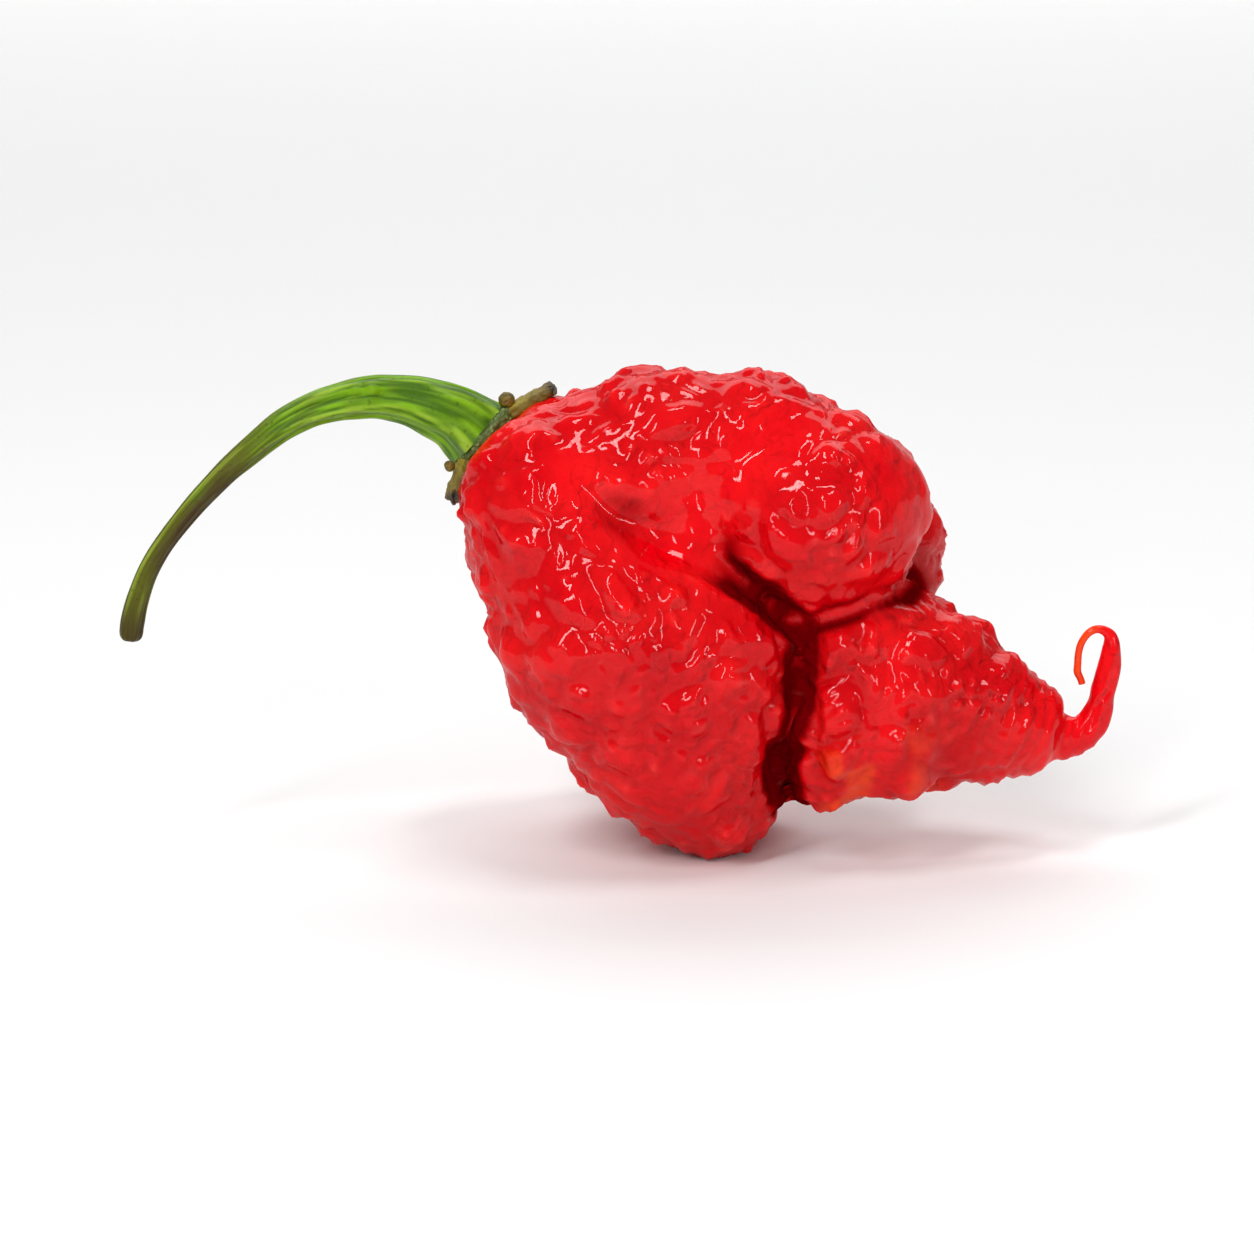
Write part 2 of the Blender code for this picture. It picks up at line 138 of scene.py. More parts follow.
def smooth_rows(rows: Array | Sequence, t: Array) -> Array:
    """Reads rows from a smooth curve through them: a cubic whose slope at a row joins its neighbours.

    Args:
        rows: the rows, one for each whole number of t.
        t: places counted in rows.

    Returns:
        One row for every t.
    """
    rows = np.asarray(rows, float)
    last = len(rows) - 1
    i = np.clip(np.floor(t).astype(int), 0, last - 1)
    f = (t - i).reshape(-1, *([1] * (rows.ndim - 1)))
    a, b, c, d = (rows[np.clip(i + k, 0, last)] for k in (-1, 0, 1, 2))
    bend = 2 * a - 5 * b + 4 * c - d
    return 0.5 * (2 * b + (c - a) * f + bend * f**2 + (3 * b - 3 * c + d - a) * f**3)


def line_distance(p: Array, line: Sequence[Place]) -> Array:
    """How far points are from a line of straight runs.

    Args:
        p: points.
        line: the line's corners.

    Returns:
        Distances, never negative.
    """
    nearest = np.full(p.shape[:-1], np.inf)
    for start, end in itertools.pairwise(np.array(line)):
        run = end - start
        t = np.clip((p - start) @ run / (run @ run), 0.0, 1.0)
        nearest = np.minimum(nearest, np.linalg.norm(p - start - t[..., None] * run, axis=-1))
    return nearest


def scatter(cell: Array) -> Array:
    """Three numbers from 0 to 1 for a whole-numbered cell, always the same ones.

    Args:
        cell: whole numbers in threes.

    Returns:
        Numbers in threes: the cell's numbers folded into one, then mixed three times over.
    """
    mixed = cell @ SCATTER_KEYS
    numbers = []
    for _ in range(3):
        mixed = ((mixed ^ (mixed >> 13)) * SCATTER_MIX) & SCATTER_WORD
        numbers.append((mixed & SCATTER_RANGE) / SCATTER_RANGE)
    return np.stack(numbers, -1)


def nearest_two(q: Array) -> tuple[Array, Array]:
    """Distances to the two nearest scattered middles, where each unit cell holds one middle.

    Args:
        q: points counted in cells.

    Returns:
        The nearest and the second nearest distance.
    """
    home = np.floor(q).astype(np.int64)
    first = np.full(q.shape[:-1], 9.0)
    second = first.copy()
    for step in itertools.product((-1, 0, 1), repeat=3):
        cell = home + np.array(step)
        middle = cell + 0.5 + SCATTER_SPREAD * (scatter(cell) - 0.5)
        distance = np.linalg.norm(q - middle, axis=-1)
        second = np.minimum(second, np.maximum(first, distance))
        first = np.minimum(first, distance)
    return first, second


def mottle(p: Array, size: float) -> Array:
    """Soft noise from 0 to 1: a random value at each corner of a lattice, eased between corners.

    Args:
        p: points in millimetres.
        size: side of a lattice cell in millimetres.

    Returns:
        The noise at each point.
    """
    q = p / size
    home = np.floor(q).astype(np.int64)
    f = smooth_step(q - home)
    total = np.zeros(p.shape[:-1])
    for corner in itertools.product((0, 1), repeat=3):
        side = np.array(corner)
        weight = np.prod(np.where(side == 1, f, 1.0 - f), axis=-1)
        total = total + weight * scatter(home + side)[..., 0]
    return total


def round_a_drum(turn: Array, radius: float, along: Array | float) -> Array:
    """Places round a drum at each angle, so that noise read there meets itself after a full turn."""
    return np.stack([radius * np.cos(turn), radius * np.sin(turn), along + 0 * turn], -1)


def facing(grid: Array) -> Array:
    """The outward direction of a grid of rings: across the ring, crossed with along the rings.

    Args:
        grid: rings of points.

    Returns:
        A unit vector for each point.
    """
    along = np.gradient(grid, axis=0)
    around = np.roll(grid, -1, 1) - np.roll(grid, 1, 1)
    return unit(np.cross(around, along))


def eased(grid: Array, rounds: int) -> Array:
    """Rings of unit vectors, each averaged with its four neighbours this many times.

    Args:
        grid: rings of unit vectors.
        rounds: how many times.

    Returns:
        The smoother vectors.
    """
    for _ in range(rounds):
        along = grid.copy()
        along[1:-1] = (grid[2:] + grid[:-2]) / 2
        grid = unit(grid + 0.5 * (along + (np.roll(grid, 1, 1) + np.roll(grid, -1, 1)) / 2))
    return grid


def refined(grid: Array, along: int, around: int) -> Array:
    """A grid of rings made finer both ways on smooth curves through its points.

    Args:
        grid: rings of points.
        along: steps put between two rings.
        around: steps put between two points of a ring.

    Returns:
        The finer grid.
    """
    rings = len(grid) - 1
    finer = smooth_rows(grid, np.arange(rings * along + 1) / along)
    turned = np.swapaxes(finer, 0, 1)
    wrapped = np.concatenate([turned[-2:], turned, turned[:3]])
    places = 2 + np.arange(len(turned) * around) / around
    return np.swapaxes(smooth_rows(wrapped, places), 0, 1)


def ring_faces(sides: Sequence[int]) -> tuple[Array, Array]:
    """Faces between rings of points, where a ring may have half or twice as many as the one before it.

    Args:
        sides: how many points each ring has.

    Returns:
        The quads between equal rings and the triangles between unequal ones.
    """
    starts = np.concatenate([[0], np.cumsum(sides)])
    quads, triangles = [], []
    for i, (here, there) in enumerate(itertools.pairwise(sides)):
        a, b = starts[i], starts[i + 1]
        j = np.arange(min(here, there))
        k = (j + 1) % len(j)
        if here == there:
            quads.append(np.stack([a + j, a + k, b + k, b + j], 1))
        elif here < there:
            triangles.append(np.stack([a + j, b + 2 * j + 1, b + 2 * j], 1))
            triangles.append(np.stack([a + j, a + k, b + 2 * j + 1], 1))
            triangles.append(np.stack([a + k, b + 2 * k, b + 2 * j + 1], 1))
        else:
            triangles.append(np.stack([a + 2 * j, a + 2 * j + 1, b + j], 1))
            triangles.append(np.stack([a + 2 * j + 1, b + k, b + j], 1))
            triangles.append(np.stack([a + 2 * j + 1, a + 2 * k, b + k], 1))
    empty = np.zeros((0, 3), int)
    return np.concatenate(quads), np.concatenate(triangles) if triangles else empty


def in_scene(name: str, data: bpy.types.ID) -> bpy.types.Object:
    """Puts an object that holds this data in the scene, at the origin and unturned.

    Args:
        name: the object's name.
        data: its mesh, light or camera.

    Returns:
        The object.
    """
    made = bpy.data.objects.new(name, data)
    bpy.context.scene.collection.objects.link(made)
    return made


def facing_along(name: str, data: bpy.types.ID, place: Vector, ahead: Vector) -> bpy.types.Object:
    """Puts a light or a camera in the scene.

    Args:
        name: the object's name.
        data: the light or the camera.
        place: where it stands, in metres.
        ahead: the direction that it faces.

    Returns:
        The object.
    """
    holder = in_scene(name, data)
    holder.location = place
    holder.rotation_mode = "QUATERNION"
    holder.rotation_quaternion = ahead.to_track_quat("-Z", "Y")
    return holder


@dataclass
class Skin:
    """A closed surface of rings, with values that its finish reads at every point."""

    rings: list[Array]
    values: dict[str, list[Array]]

    @classmethod
    def over(cls, grid: Array, every: Array | None = None, **values: Array) -> "Skin":
        """Takes a grid's rings, with every so many of their points.

        Args:
            grid: rings of points.
            every: how many points each ring moves on by, or None to keep them all.
            values: named values at the grid's points.

        Returns:
            The surface.
        """
        steps = np.ones(len(grid), int) if every is None else every
        rings = [ring[::step] for ring, step in zip(grid, steps)]
        kept = {
            name: [row[::step] for row, step in zip(value, steps)] for name, value in values.items()
        }
        return cls(rings, kept)

    def piece(self, name: str) -> bpy.types.Object:
        """Writes the surface to a mesh in metres, closed at both ends by a fan to the ring's middle.

        Args:
            name: the piece's name.

        Returns:
            The piece, at the origin and unturned.
        """
        sides = [len(ring) for ring in self.rings]
        quads, triangles = ring_faces(sides)
        ends = np.stack([self.rings[0].mean(0), self.rings[-1].mean(0)])
        points = np.concatenate([*self.rings, ends]) * MM
        first = np.arange(sides[0])
        last = np.arange(sides[-1]) + sum(sides[:-1])
        low, high = len(points) - 2, len(points) - 1
        caps = [
            np.stack([np.full(len(first), low), np.roll(first, -1), first], 1),
            np.stack([np.full(len(last), high), last, np.roll(last, -1)], 1),
        ]
        triangles = np.concatenate([triangles, *caps])
        mesh = bpy.data.meshes.new(name)
        mesh.vertices.add(len(points))
        mesh.vertices.foreach_set("co", points.astype(np.float32).ravel())
        corners = np.concatenate([quads.ravel(), triangles.ravel()]).astype(np.int32)
        mesh.loops.add(len(corners))
        mesh.loops.foreach_set("vertex_index", corners)
        quad_starts = np.arange(len(quads)) * 4
        triangle_starts = len(quads) * 4 + np.arange(len(triangles)) * 3
        starts = np.concatenate([quad_starts, triangle_starts])
        mesh.polygons.add(len(starts))
        mesh.polygons.foreach_set("loop_start", starts.astype(np.int32))
        mesh.update(calc_edges=True)
        mesh.shade_smooth()
        for label, rows in self.values.items():
            column = np.concatenate(rows)
            column = np.concatenate([column, [rows[0].mean(), rows[-1].mean()]])
            layer = mesh.attributes.new(label, "FLOAT", "POINT")
            layer.data.foreach_set("value", column.astype(np.float32))
        return in_scene(name, mesh)


class Recipe:
    """A short hand for the nodes of one procedural finish."""

    def __init__(self, name: str) -> None:
        """Starts a material with one shader.

        Args:
            name: the material's name.
        """
        self.material = bpy.data.materials.new(name)
        self.material.use_nodes = True
        self.tree = self.material.node_tree
        self.shader = self.tree.nodes["Principled BSDF"]
        self.object_place = self.tree.nodes.new("ShaderNodeTexCoord").outputs["Object"]

    def feed(self, socket: bpy.types.NodeSocket, value: object) -> None:
        """Links a socket to the value, or sets the value on it.

        Args:
            socket: the input that takes the value.
            value: an output socket, a number or a colour.
        """
        if isinstance(value, bpy.types.NodeSocket):
            self.tree.links.new(value, socket)
        elif isinstance(value, tuple) and len(value) == 3 and socket.type == "RGBA":
            socket.default_value = (*value, 1.0)
        else:
            socket.default_value = value

    def shade(self, **values: object) -> None:
        """Feeds the shader's inputs, named with _ in place of a space.

        Args:
            values: what each input takes.
        """
        for name, value in values.items():
            self.feed(self.shader.inputs[name.replace("_", " ")], value)

    def attribute(self, name: str) -> bpy.types.NodeSocket:
        """The value that the mesh carries under this name.

        Args:
            name: the value's name.

        Returns:
            The value.
        """
        node = self.tree.nodes.new("ShaderNodeAttribute")
        node.attribute_name = name
        return node.outputs["Fac"]

    def noise(self, scale: float, detail: float = 2.0) -> bpy.types.NodeSocket:
        """Soft noise from 0 to 1, read at the object's own coordinates.

        Args:
            scale: lumps to a metre.
            detail: how many finer layers are added.

        Returns:
            The noise.
        """
        node = self.tree.nodes.new("ShaderNodeTexNoise")
        node.inputs["Scale"].default_value = scale
        node.inputs["Detail"].default_value = detail
        self.feed(node.inputs["Vector"], self.object_place)
        return node.outputs["Fac"]

    def bent(self, scale: float, reach: float) -> bpy.types.NodeSocket:
        """The object's coordinates, each moved by noise.

        Args:
            scale: lumps of the noise to a metre.
            reach: how far a point moves, in metres.

        Returns:
            The moved coordinates.
        """
        noise = self.tree.nodes.new("ShaderNodeTexNoise")
        noise.inputs["Scale"].default_value = scale
        self.feed(noise.inputs["Vector"], self.object_place)
        move = self.tree.nodes.new("ShaderNodeVectorMath")
        move.operation = "MULTIPLY_ADD"
        self.feed(move.inputs[0], noise.outputs["Color"])
        move.inputs[1].default_value = (reach, reach, reach)
        self.feed(move.inputs[2], self.object_place)
        return move.outputs[0]

    def pebbles(self, scale: float, place: object = None) -> bpy.types.NodeSocket:
        """Distance to the nearest scattered middle, this many to a metre, rounded where two meet.

        Args:
            scale: middles to a metre.
            place: where it is read, or None for the object's own coordinates.

        Returns:
            The distance, in cells.
        """
        node = self.tree.nodes.new("ShaderNodeTexVoronoi")
        node.feature = "SMOOTH_F1"
        node.inputs["Smoothness"].default_value = 0.25
        node.inputs["Scale"].default_value = scale
        self.feed(node.inputs["Vector"], place or self.object_place)
        return node.outputs["Distance"]

    def step(self, kind: Arithmetic, a: object, b: object = 0.0) -> bpy.types.NodeSocket:
        """One step of arithmetic.

        Args:
            kind: the operation.
            a: first value.
            b: second value, if the operation has one.

        Returns:
            The result.
        """
        node = self.tree.nodes.new("ShaderNodeMath")
        node.operation = kind.value
        self.feed(node.inputs[0], a)
        self.feed(node.inputs[1], b)
        return node.outputs[0]

    def plus(self, a: object, b: object) -> bpy.types.NodeSocket:
        """The sum of two values."""
        return self.step(Arithmetic.PLUS, a, b)

    def times(self, a: object, b: object) -> bpy.types.NodeSocket:
        """The product of two values."""
        return self.step(Arithmetic.TIMES, a, b)

    def size_past(self, a: object, b: object) -> bpy.types.NodeSocket:
        """How far a value is from another, whichever is the greater."""
        return self.step(Arithmetic.SIZE, self.step(Arithmetic.MINUS, a, b))

    def spread(
        self, value: object, low: float, high: float, to: tuple[float, float] = (0.0, 1.0)
    ) -> bpy.types.NodeSocket:
        """Stretches low to high over the range given, and holds it there.

        Args:
            value: what is stretched.
            low: the value that becomes the first end.
            high: the value that becomes the second end.
            to: the two ends.

        Returns:
            The stretched value.
        """
        node = self.tree.nodes.new("ShaderNodeMapRange")
        self.feed(node.inputs["Value"], value)
        node.inputs["From Min"].default_value = low
        node.inputs["From Max"].default_value = high
        node.inputs["To Min"].default_value = to[0]
        node.inputs["To Max"].default_value = to[1]
        return node.outputs["Result"]

    def mix(self, share: object, a: object, b: object) -> bpy.types.NodeSocket:
        """Goes from colour a to colour b as the share goes from 0 to 1.

        Args:
            share: the share.
            a: first colour.
            b: second colour.

        Returns:
            The mixed colour.
        """
        node = self.tree.nodes.new("ShaderNodeMix")
        node.data_type = "RGBA"
        self.feed(node.inputs["Factor"], share)
        colours = [socket for socket in node.inputs if socket.type == "RGBA"]
        self.feed(colours[0], a)
        self.feed(colours[1], b)
        return next(socket for socket in node.outputs if socket.type == "RGBA")

    def bump(self, height: object, depth: float, strength: float = 1.0) -> None:
        """Tilts the finish by a height.

        Args:
            height: value from 0 to 1.
            depth: what a height of 1 stands for, in metres.
            strength: how much of the tilt is used.
        """
        node = self.tree.nodes.new("ShaderNodeBump")
        node.inputs["Strength"].default_value = strength
        node.inputs["Distance"].default_value = depth
        self.feed(node.inputs["Height"], height)
        self.feed(self.shader.inputs["Normal"], node.outputs["Normal"])


@dataclass(frozen=True)
class SkinFinish:
    """Waxy red skin: painted shade in deep red in creases and between blisters, a pale painted highlight
    on blister crests, orange in places, and a thin gloss over all.

    Scales count lumps to a metre, and the relief is in metres.
    """

    red: Colour = (0.70, 0.0, 0.004)
    bright: Colour = (0.82, 0.006, 0.008)
    # Deep red for the painted shade in creases, folds and between blisters.
    deep: Colour = (0.13, 0.0, 0.001)
    orange: Colour = (0.86, 0.075, 0.008)
    # Pale pink for the painted highlight on blister crests, and how much of it is used.
    pale: Colour = (0.86, 0.16, 0.12)
    painted_highlight_share: float = 0.10
    patch_scale: float = 160.0
    bead_scale: float = 700.0
    curl_scale: float = 560.0
    curl_share: float = 0.35
    relief: float = 0.00037
    gloss: float = 0.44

    def colour(self, mix: Recipe) -> bpy.types.NodeSocket:
        """Red in soft patches, deep red as painted shade, pale on crests as a painted highlight, and
        orange where it is warm.

        Args:
            mix: the finish that the colour is for.

        Returns:
            The colour.
        """
        patches = mix.spread(mix.noise(self.patch_scale, 3.0), 0.35, 0.65)
        colour = mix.mix(patches, self.red, self.bright)
        # Painted shade: deep red where the mesh marks creases, folds and the gaps between blisters.
        colour = mix.mix(mix.spread(mix.attribute("hollow"), 0.0, 1.0), colour, self.deep)
        # Painted highlight: pale pink on blister crests.
        crest = mix.times(mix.attribute("crest"), self.painted_highlight_share)
        colour = mix.mix(crest, colour, self.pale)
        uneven = mix.spread(mix.noise(420.0), 0.3, 0.7, (0.6, 1.0))
        return mix.mix(mix.times(mix.attribute("warm"), uneven), colour, self.orange)

    def beads(self, mix: Recipe) -> bpy.types.NodeSocket:
        """Height of the fine relief: small beads and curled ridges, lower in some patches.

        A ridge stands where soft noise passes through its middle value.

        Args:
            mix: the finish that the relief is for.

        Returns:
            The height.
        """
        place = mix.bent(500.0, 0.0014)
        beads = mix.spread(mix.pebbles(self.bead_scale, place), 0.0, 0.75, (1.0, 0.0))
        off_middle = mix.size_past(mix.noise(self.curl_scale, 1.5), 0.5)
        curls = mix.spread(off_middle, 0.0, 0.12, (1.0, 0.0))
        beads = mix.plus(beads, mix.times(curls, self.curl_share))
        patches = mix.spread(mix.noise(230.0, 1.0), 0.36, 0.58, (0.35, 1.0))
        return mix.times(beads, patches)

    def material(self) -> bpy.types.Material:
        """Builds the finish.

        Returns:
            The material, which reads from the mesh the painted shade, the painted highlight on crests
            and warm.
        """
        mix = Recipe("red skin")
        mix.bump(self.beads(mix), self.relief)
        rough = mix.spread(mix.noise(900.0), 0.3, 0.7, (0.15, 0.25))
        # The coat fades out where shade is painted.
        gloss = mix.spread(mix.attribute("hollow"), 0.25, 0.7, (self.gloss, 0.0))
        mix.shade(Base_Color=self.colour(mix), Roughness=rough, Specular_IOR_Level=0.0)
        mix.shade(Coat_Weight=gloss, Coat_Roughness=0.05, Coat_IOR=1.5)
        mix.shade(Subsurface_Weight=0.10, Subsurface_Scale=0.0012)
        mix.shade(Subsurface_Radius=(1.0, 0.12, 0.06))
        return mix.material


@dataclass(frozen=True)
class StemFinish:
    """Ribbed green stalk: bright at the calyx, olive further out, brown at the cut end."""

    bright: Colour = (0.17, 0.36, 0.003)
    green: Colour = (0.050, 0.130, 0.001)
    olive: Colour = (0.095, 0.092, 0.005)
    brown: Colour = (0.045, 0.024, 0.007)
    pale: Colour = (0.40, 0.52, 0.06)

    def material(self) -> bpy.types.Material:
        """Builds the finish.

        Returns:
            The material, which reads along, rib, fibre and dry from the mesh.
        """
        mix = Recipe("green stem")
        along = mix.attribute("along")
        fibre = mix.attribute("fibre")
        colour = mix.mix(mix.spread(fibre, 0.3, 0.7), self.green, self.bright)
        uneven = mix.spread(mix.noise(260.0, 3.0), 0.3, 0.7, (-0.15, 0.15))
        far = mix.plus(along, uneven)
        colour = mix.mix(mix.spread(far, 0.26, 0.62, (0.0, 0.88)), colour, self.olive)
        colour = mix.mix(mix.times(mix.attribute("rib"), 0.38), colour, self.pale)
        colour = mix.mix(mix.attribute("dry"), colour, self.brown)
        specks = mix.spread(mix.noise(1800.0), 0.62, 0.72, (0.0, 0.45))
        colour = mix.mix(specks, colour, self.brown)
        rough = mix.spread(mix.noise(700.0), 0.3, 0.7, (0.34, 0.55))
        grain = mix.plus(mix.noise(1300.0, 3.0), mix.times(fibre, 0.8))
        mix.bump(grain, 0.00020, 0.5)
        mix.shade(Base_Color=colour, Roughness=rough, Specular_IOR_Level=0.14, Subsurface_Weight=0.05)
        mix.shade(Subsurface_Scale=0.0008, Subsurface_Radius=(0.6, 1.0, 0.2))
        return mix.material


@dataclass(frozen=True)
class CapFinish:
    """Dull, granular grey-green rim of the calyx, with painted shade between its grains."""

    green: Colour = (0.11, 0.20, 0.03)
    grey: Colour = (0.28, 0.36, 0.14)
    dark: Colour = (0.05, 0.06, 0.01)

    def material(self) -> bpy.types.Material:
        """Builds the finish.

        Returns:
            The material, which reads the painted shade between grains from the mesh.
        """
        mix = Recipe("calyx cap")
        grains = mix.pebbles(1900.0)
        colour = mix.mix(mix.spread(grains, 0.1, 0.6), self.grey, self.green)
        # Painted shade: darker between the rim's grains.
        colour = mix.mix(mix.times(mix.attribute("hollow"), 0.8), colour, self.dark)
        mix.bump(mix.spread(grains, 0.0, 0.7, (1.0, 0.0)), 0.00018, 0.8)
        mix.shade(Base_Color=colour, Roughness=0.62, Specular_IOR_Level=0.35)
        return mix.material


@dataclass(frozen=True)
class DriedFinish:
    """Dried sepals and knobs: olive by the cap, brown further out and nearly black at broken edges,
    with painted shade in the knobs' dents.
    """

    olive: Colour = (0.27, 0.205, 0.012)
    brown: Colour = (0.13, 0.078, 0.008)
    # Black at the sepals' broken edges, and painted shade in the knobs' dents.
    black: Colour = (0.016, 0.010, 0.005)

    def material(self) -> bpy.types.Material:
        """Builds the finish.

        Returns:
            The material, which reads tip, and the dark edges with the knobs' painted shade, from the
            mesh.
        """
        mix = Recipe("dried sepals")
        streaks = mix.noise(900.0, 4.0)
        tip = mix.plus(mix.attribute("tip"), mix.spread(streaks, 0.3, 0.7, (-0.3, 0.3)))
        colour = mix.mix(mix.spread(tip, 0.35, 1.1), self.olive, self.brown)
        # Black at broken edges of the sepals, and painted shade in the knobs' dents.
        colour = mix.mix(mix.spread(mix.attribute("edge"), 0.2, 1.0), colour, self.black)
        mix.bump(mix.noise(2600.0, 4.0), 0.00020, 0.7)
        mix.shade(Base_Color=colour, Roughness=0.58, Specular_IOR_Level=0.4)
        return mix.material


@dataclass(frozen=True)
class FloorFinish:
    """Matt floor, nearly white."""

    white: Colour = (0.86, 0.86, 0.86)

    def material(self) -> bpy.types.Material:
        """Builds the finish, the same all over.

        Returns:
            The material.
        """
        mix = Recipe("pale floor")
        mix.shade(Base_Color=self.white, Roughness=0.6, Specular_IOR_Level=0.2)
        return mix.material


@dataclass(frozen=True)
class Lobe:
    """A swelling of the pod: skin drawn tight over balls (x, y, z, radius), one after the other."""

    blend: float
    balls: tuple[tuple[float, float, float, float], ...]
    chain_blend: float = 2.5

    @staticmethod
    def pair(p: Array, first: Sequence[float], last: Sequence[float]) -> Array:
        """Distance to the skin over two balls.

        A point beside the pair is measured to the cone that touches both balls, and a point past
        either end to that end's ball.

        Args:
            p: points.
            first: the first ball.
            last: the last ball.

        Returns:
            Distances, negative inside.
        """
        start, end = np.array(first[:3]), np.array(last[:3])
        along = end - start
        length2 = along @ along
        fall = first[3] - last[3]
        slant2 = length2 - fall * fall
        from_start = p - start
        y = from_start @ along
        z = y - length2
        aside = from_start * length2 - y[..., None] * along
        x2 = np.einsum("...i,...i->...", aside, aside)
        y2, z2 = y * y * length2, z * z * length2
        k = np.sign(fall) * fall * fall * x2
        past_end = np.sqrt(x2 + z2) / length2 - last[3]
        before_start = np.sqrt(x2 + y2) / length2 - first[3]
        between = (np.sqrt(x2 * slant2 / length2) + y * fall) / length2 - first[3]
        at_end = np.sign(z) * slant2 * z2 > k
        at_start = np.sign(y) * slant2 * y2 < k
        return np.where(at_end, past_end, np.where(at_start, before_start, between))

    def distance(self, p: Array) -> Array:
        """Distance to the whole lobe: its pairs of balls run softly together.

        Args:
            p: points.

        Returns:
            Distances, negative inside.
        """
        parts = [self.pair(p, a, b) for a, b in itertools.pairwise(self.balls)]
        whole = parts[0]
        for part in parts[1:]:
            whole = soft_union(whole, part, self.chain_blend)
        return whole


@dataclass(frozen=True)
class Fold:
    """A furrow that follows a line: its depth fades away from it as exp(-(distance / width)^2).

    Its painted shade fades in the same way over a wider strip: it darkens the colour, and where it is
    negative it paints light in where light reaches in.
    """

    depth: float
    width: float
    line: tuple[Place, ...]
    shade: float = 0.0

    def near(self, p: Array, reach: float = 1.0) -> Array:
        """How near each point is to the line: 1 on it, and 0.37 at this many fold widths from it."""
        return np.exp(-((line_distance(p, self.line) / (reach * self.width)) ** 2))


@dataclass(frozen=True)
class Blisters:
    """One layer of rounded blisters: width, height, and how far they are bent out of round."""

    size: float
    height: float
    bend: float
    valley: float = 0.55
    dome: float = 0.45

    def rise(self, p: Array) -> Array:
        """Height of the layer from 0 to 1.

        Each blister belongs to the nearest of scattered middles. It falls to nothing where the
        second nearest is as close, and is a little lower away from its middle.

        Args:
            p: points in millimetres.

        Returns:
            The heights.
        """
        waves = np.sin(p[..., [1, 2, 0]] * (2.1 / self.size) + np.array([0.3, 1.7, 4.0]))
        first, second = nearest_two((p + self.bend * self.size * waves) / self.size)
        rounded = 1.0 - self.dome * np.minimum(first, 1.0) ** 2
        return smooth_step((second - first) / self.valley) * rounded


@dataclass(frozen=True)
class CalyxFace:
    """The face that the pod turns to its calyx."""

    middle: Place = (-19.5, 0.3, 36.7)
    lean: float = 42.0
    trough: float = 4.5
    bare: tuple[float, float] = (5.0, 9.0)

    @property
    def axis(self) -> Array:
        """The direction that the calyx and the stem's base point in."""
        return leaning(self.lean)

    def above(self, p: Array) -> Array:
        """Height over the seat, which rises at 45 degrees in front of and behind the calyx."""
        away = p - np.array(self.middle)
        return away @ self.axis - np.maximum(np.abs(away[..., 1]) - self.trough, 0.0)


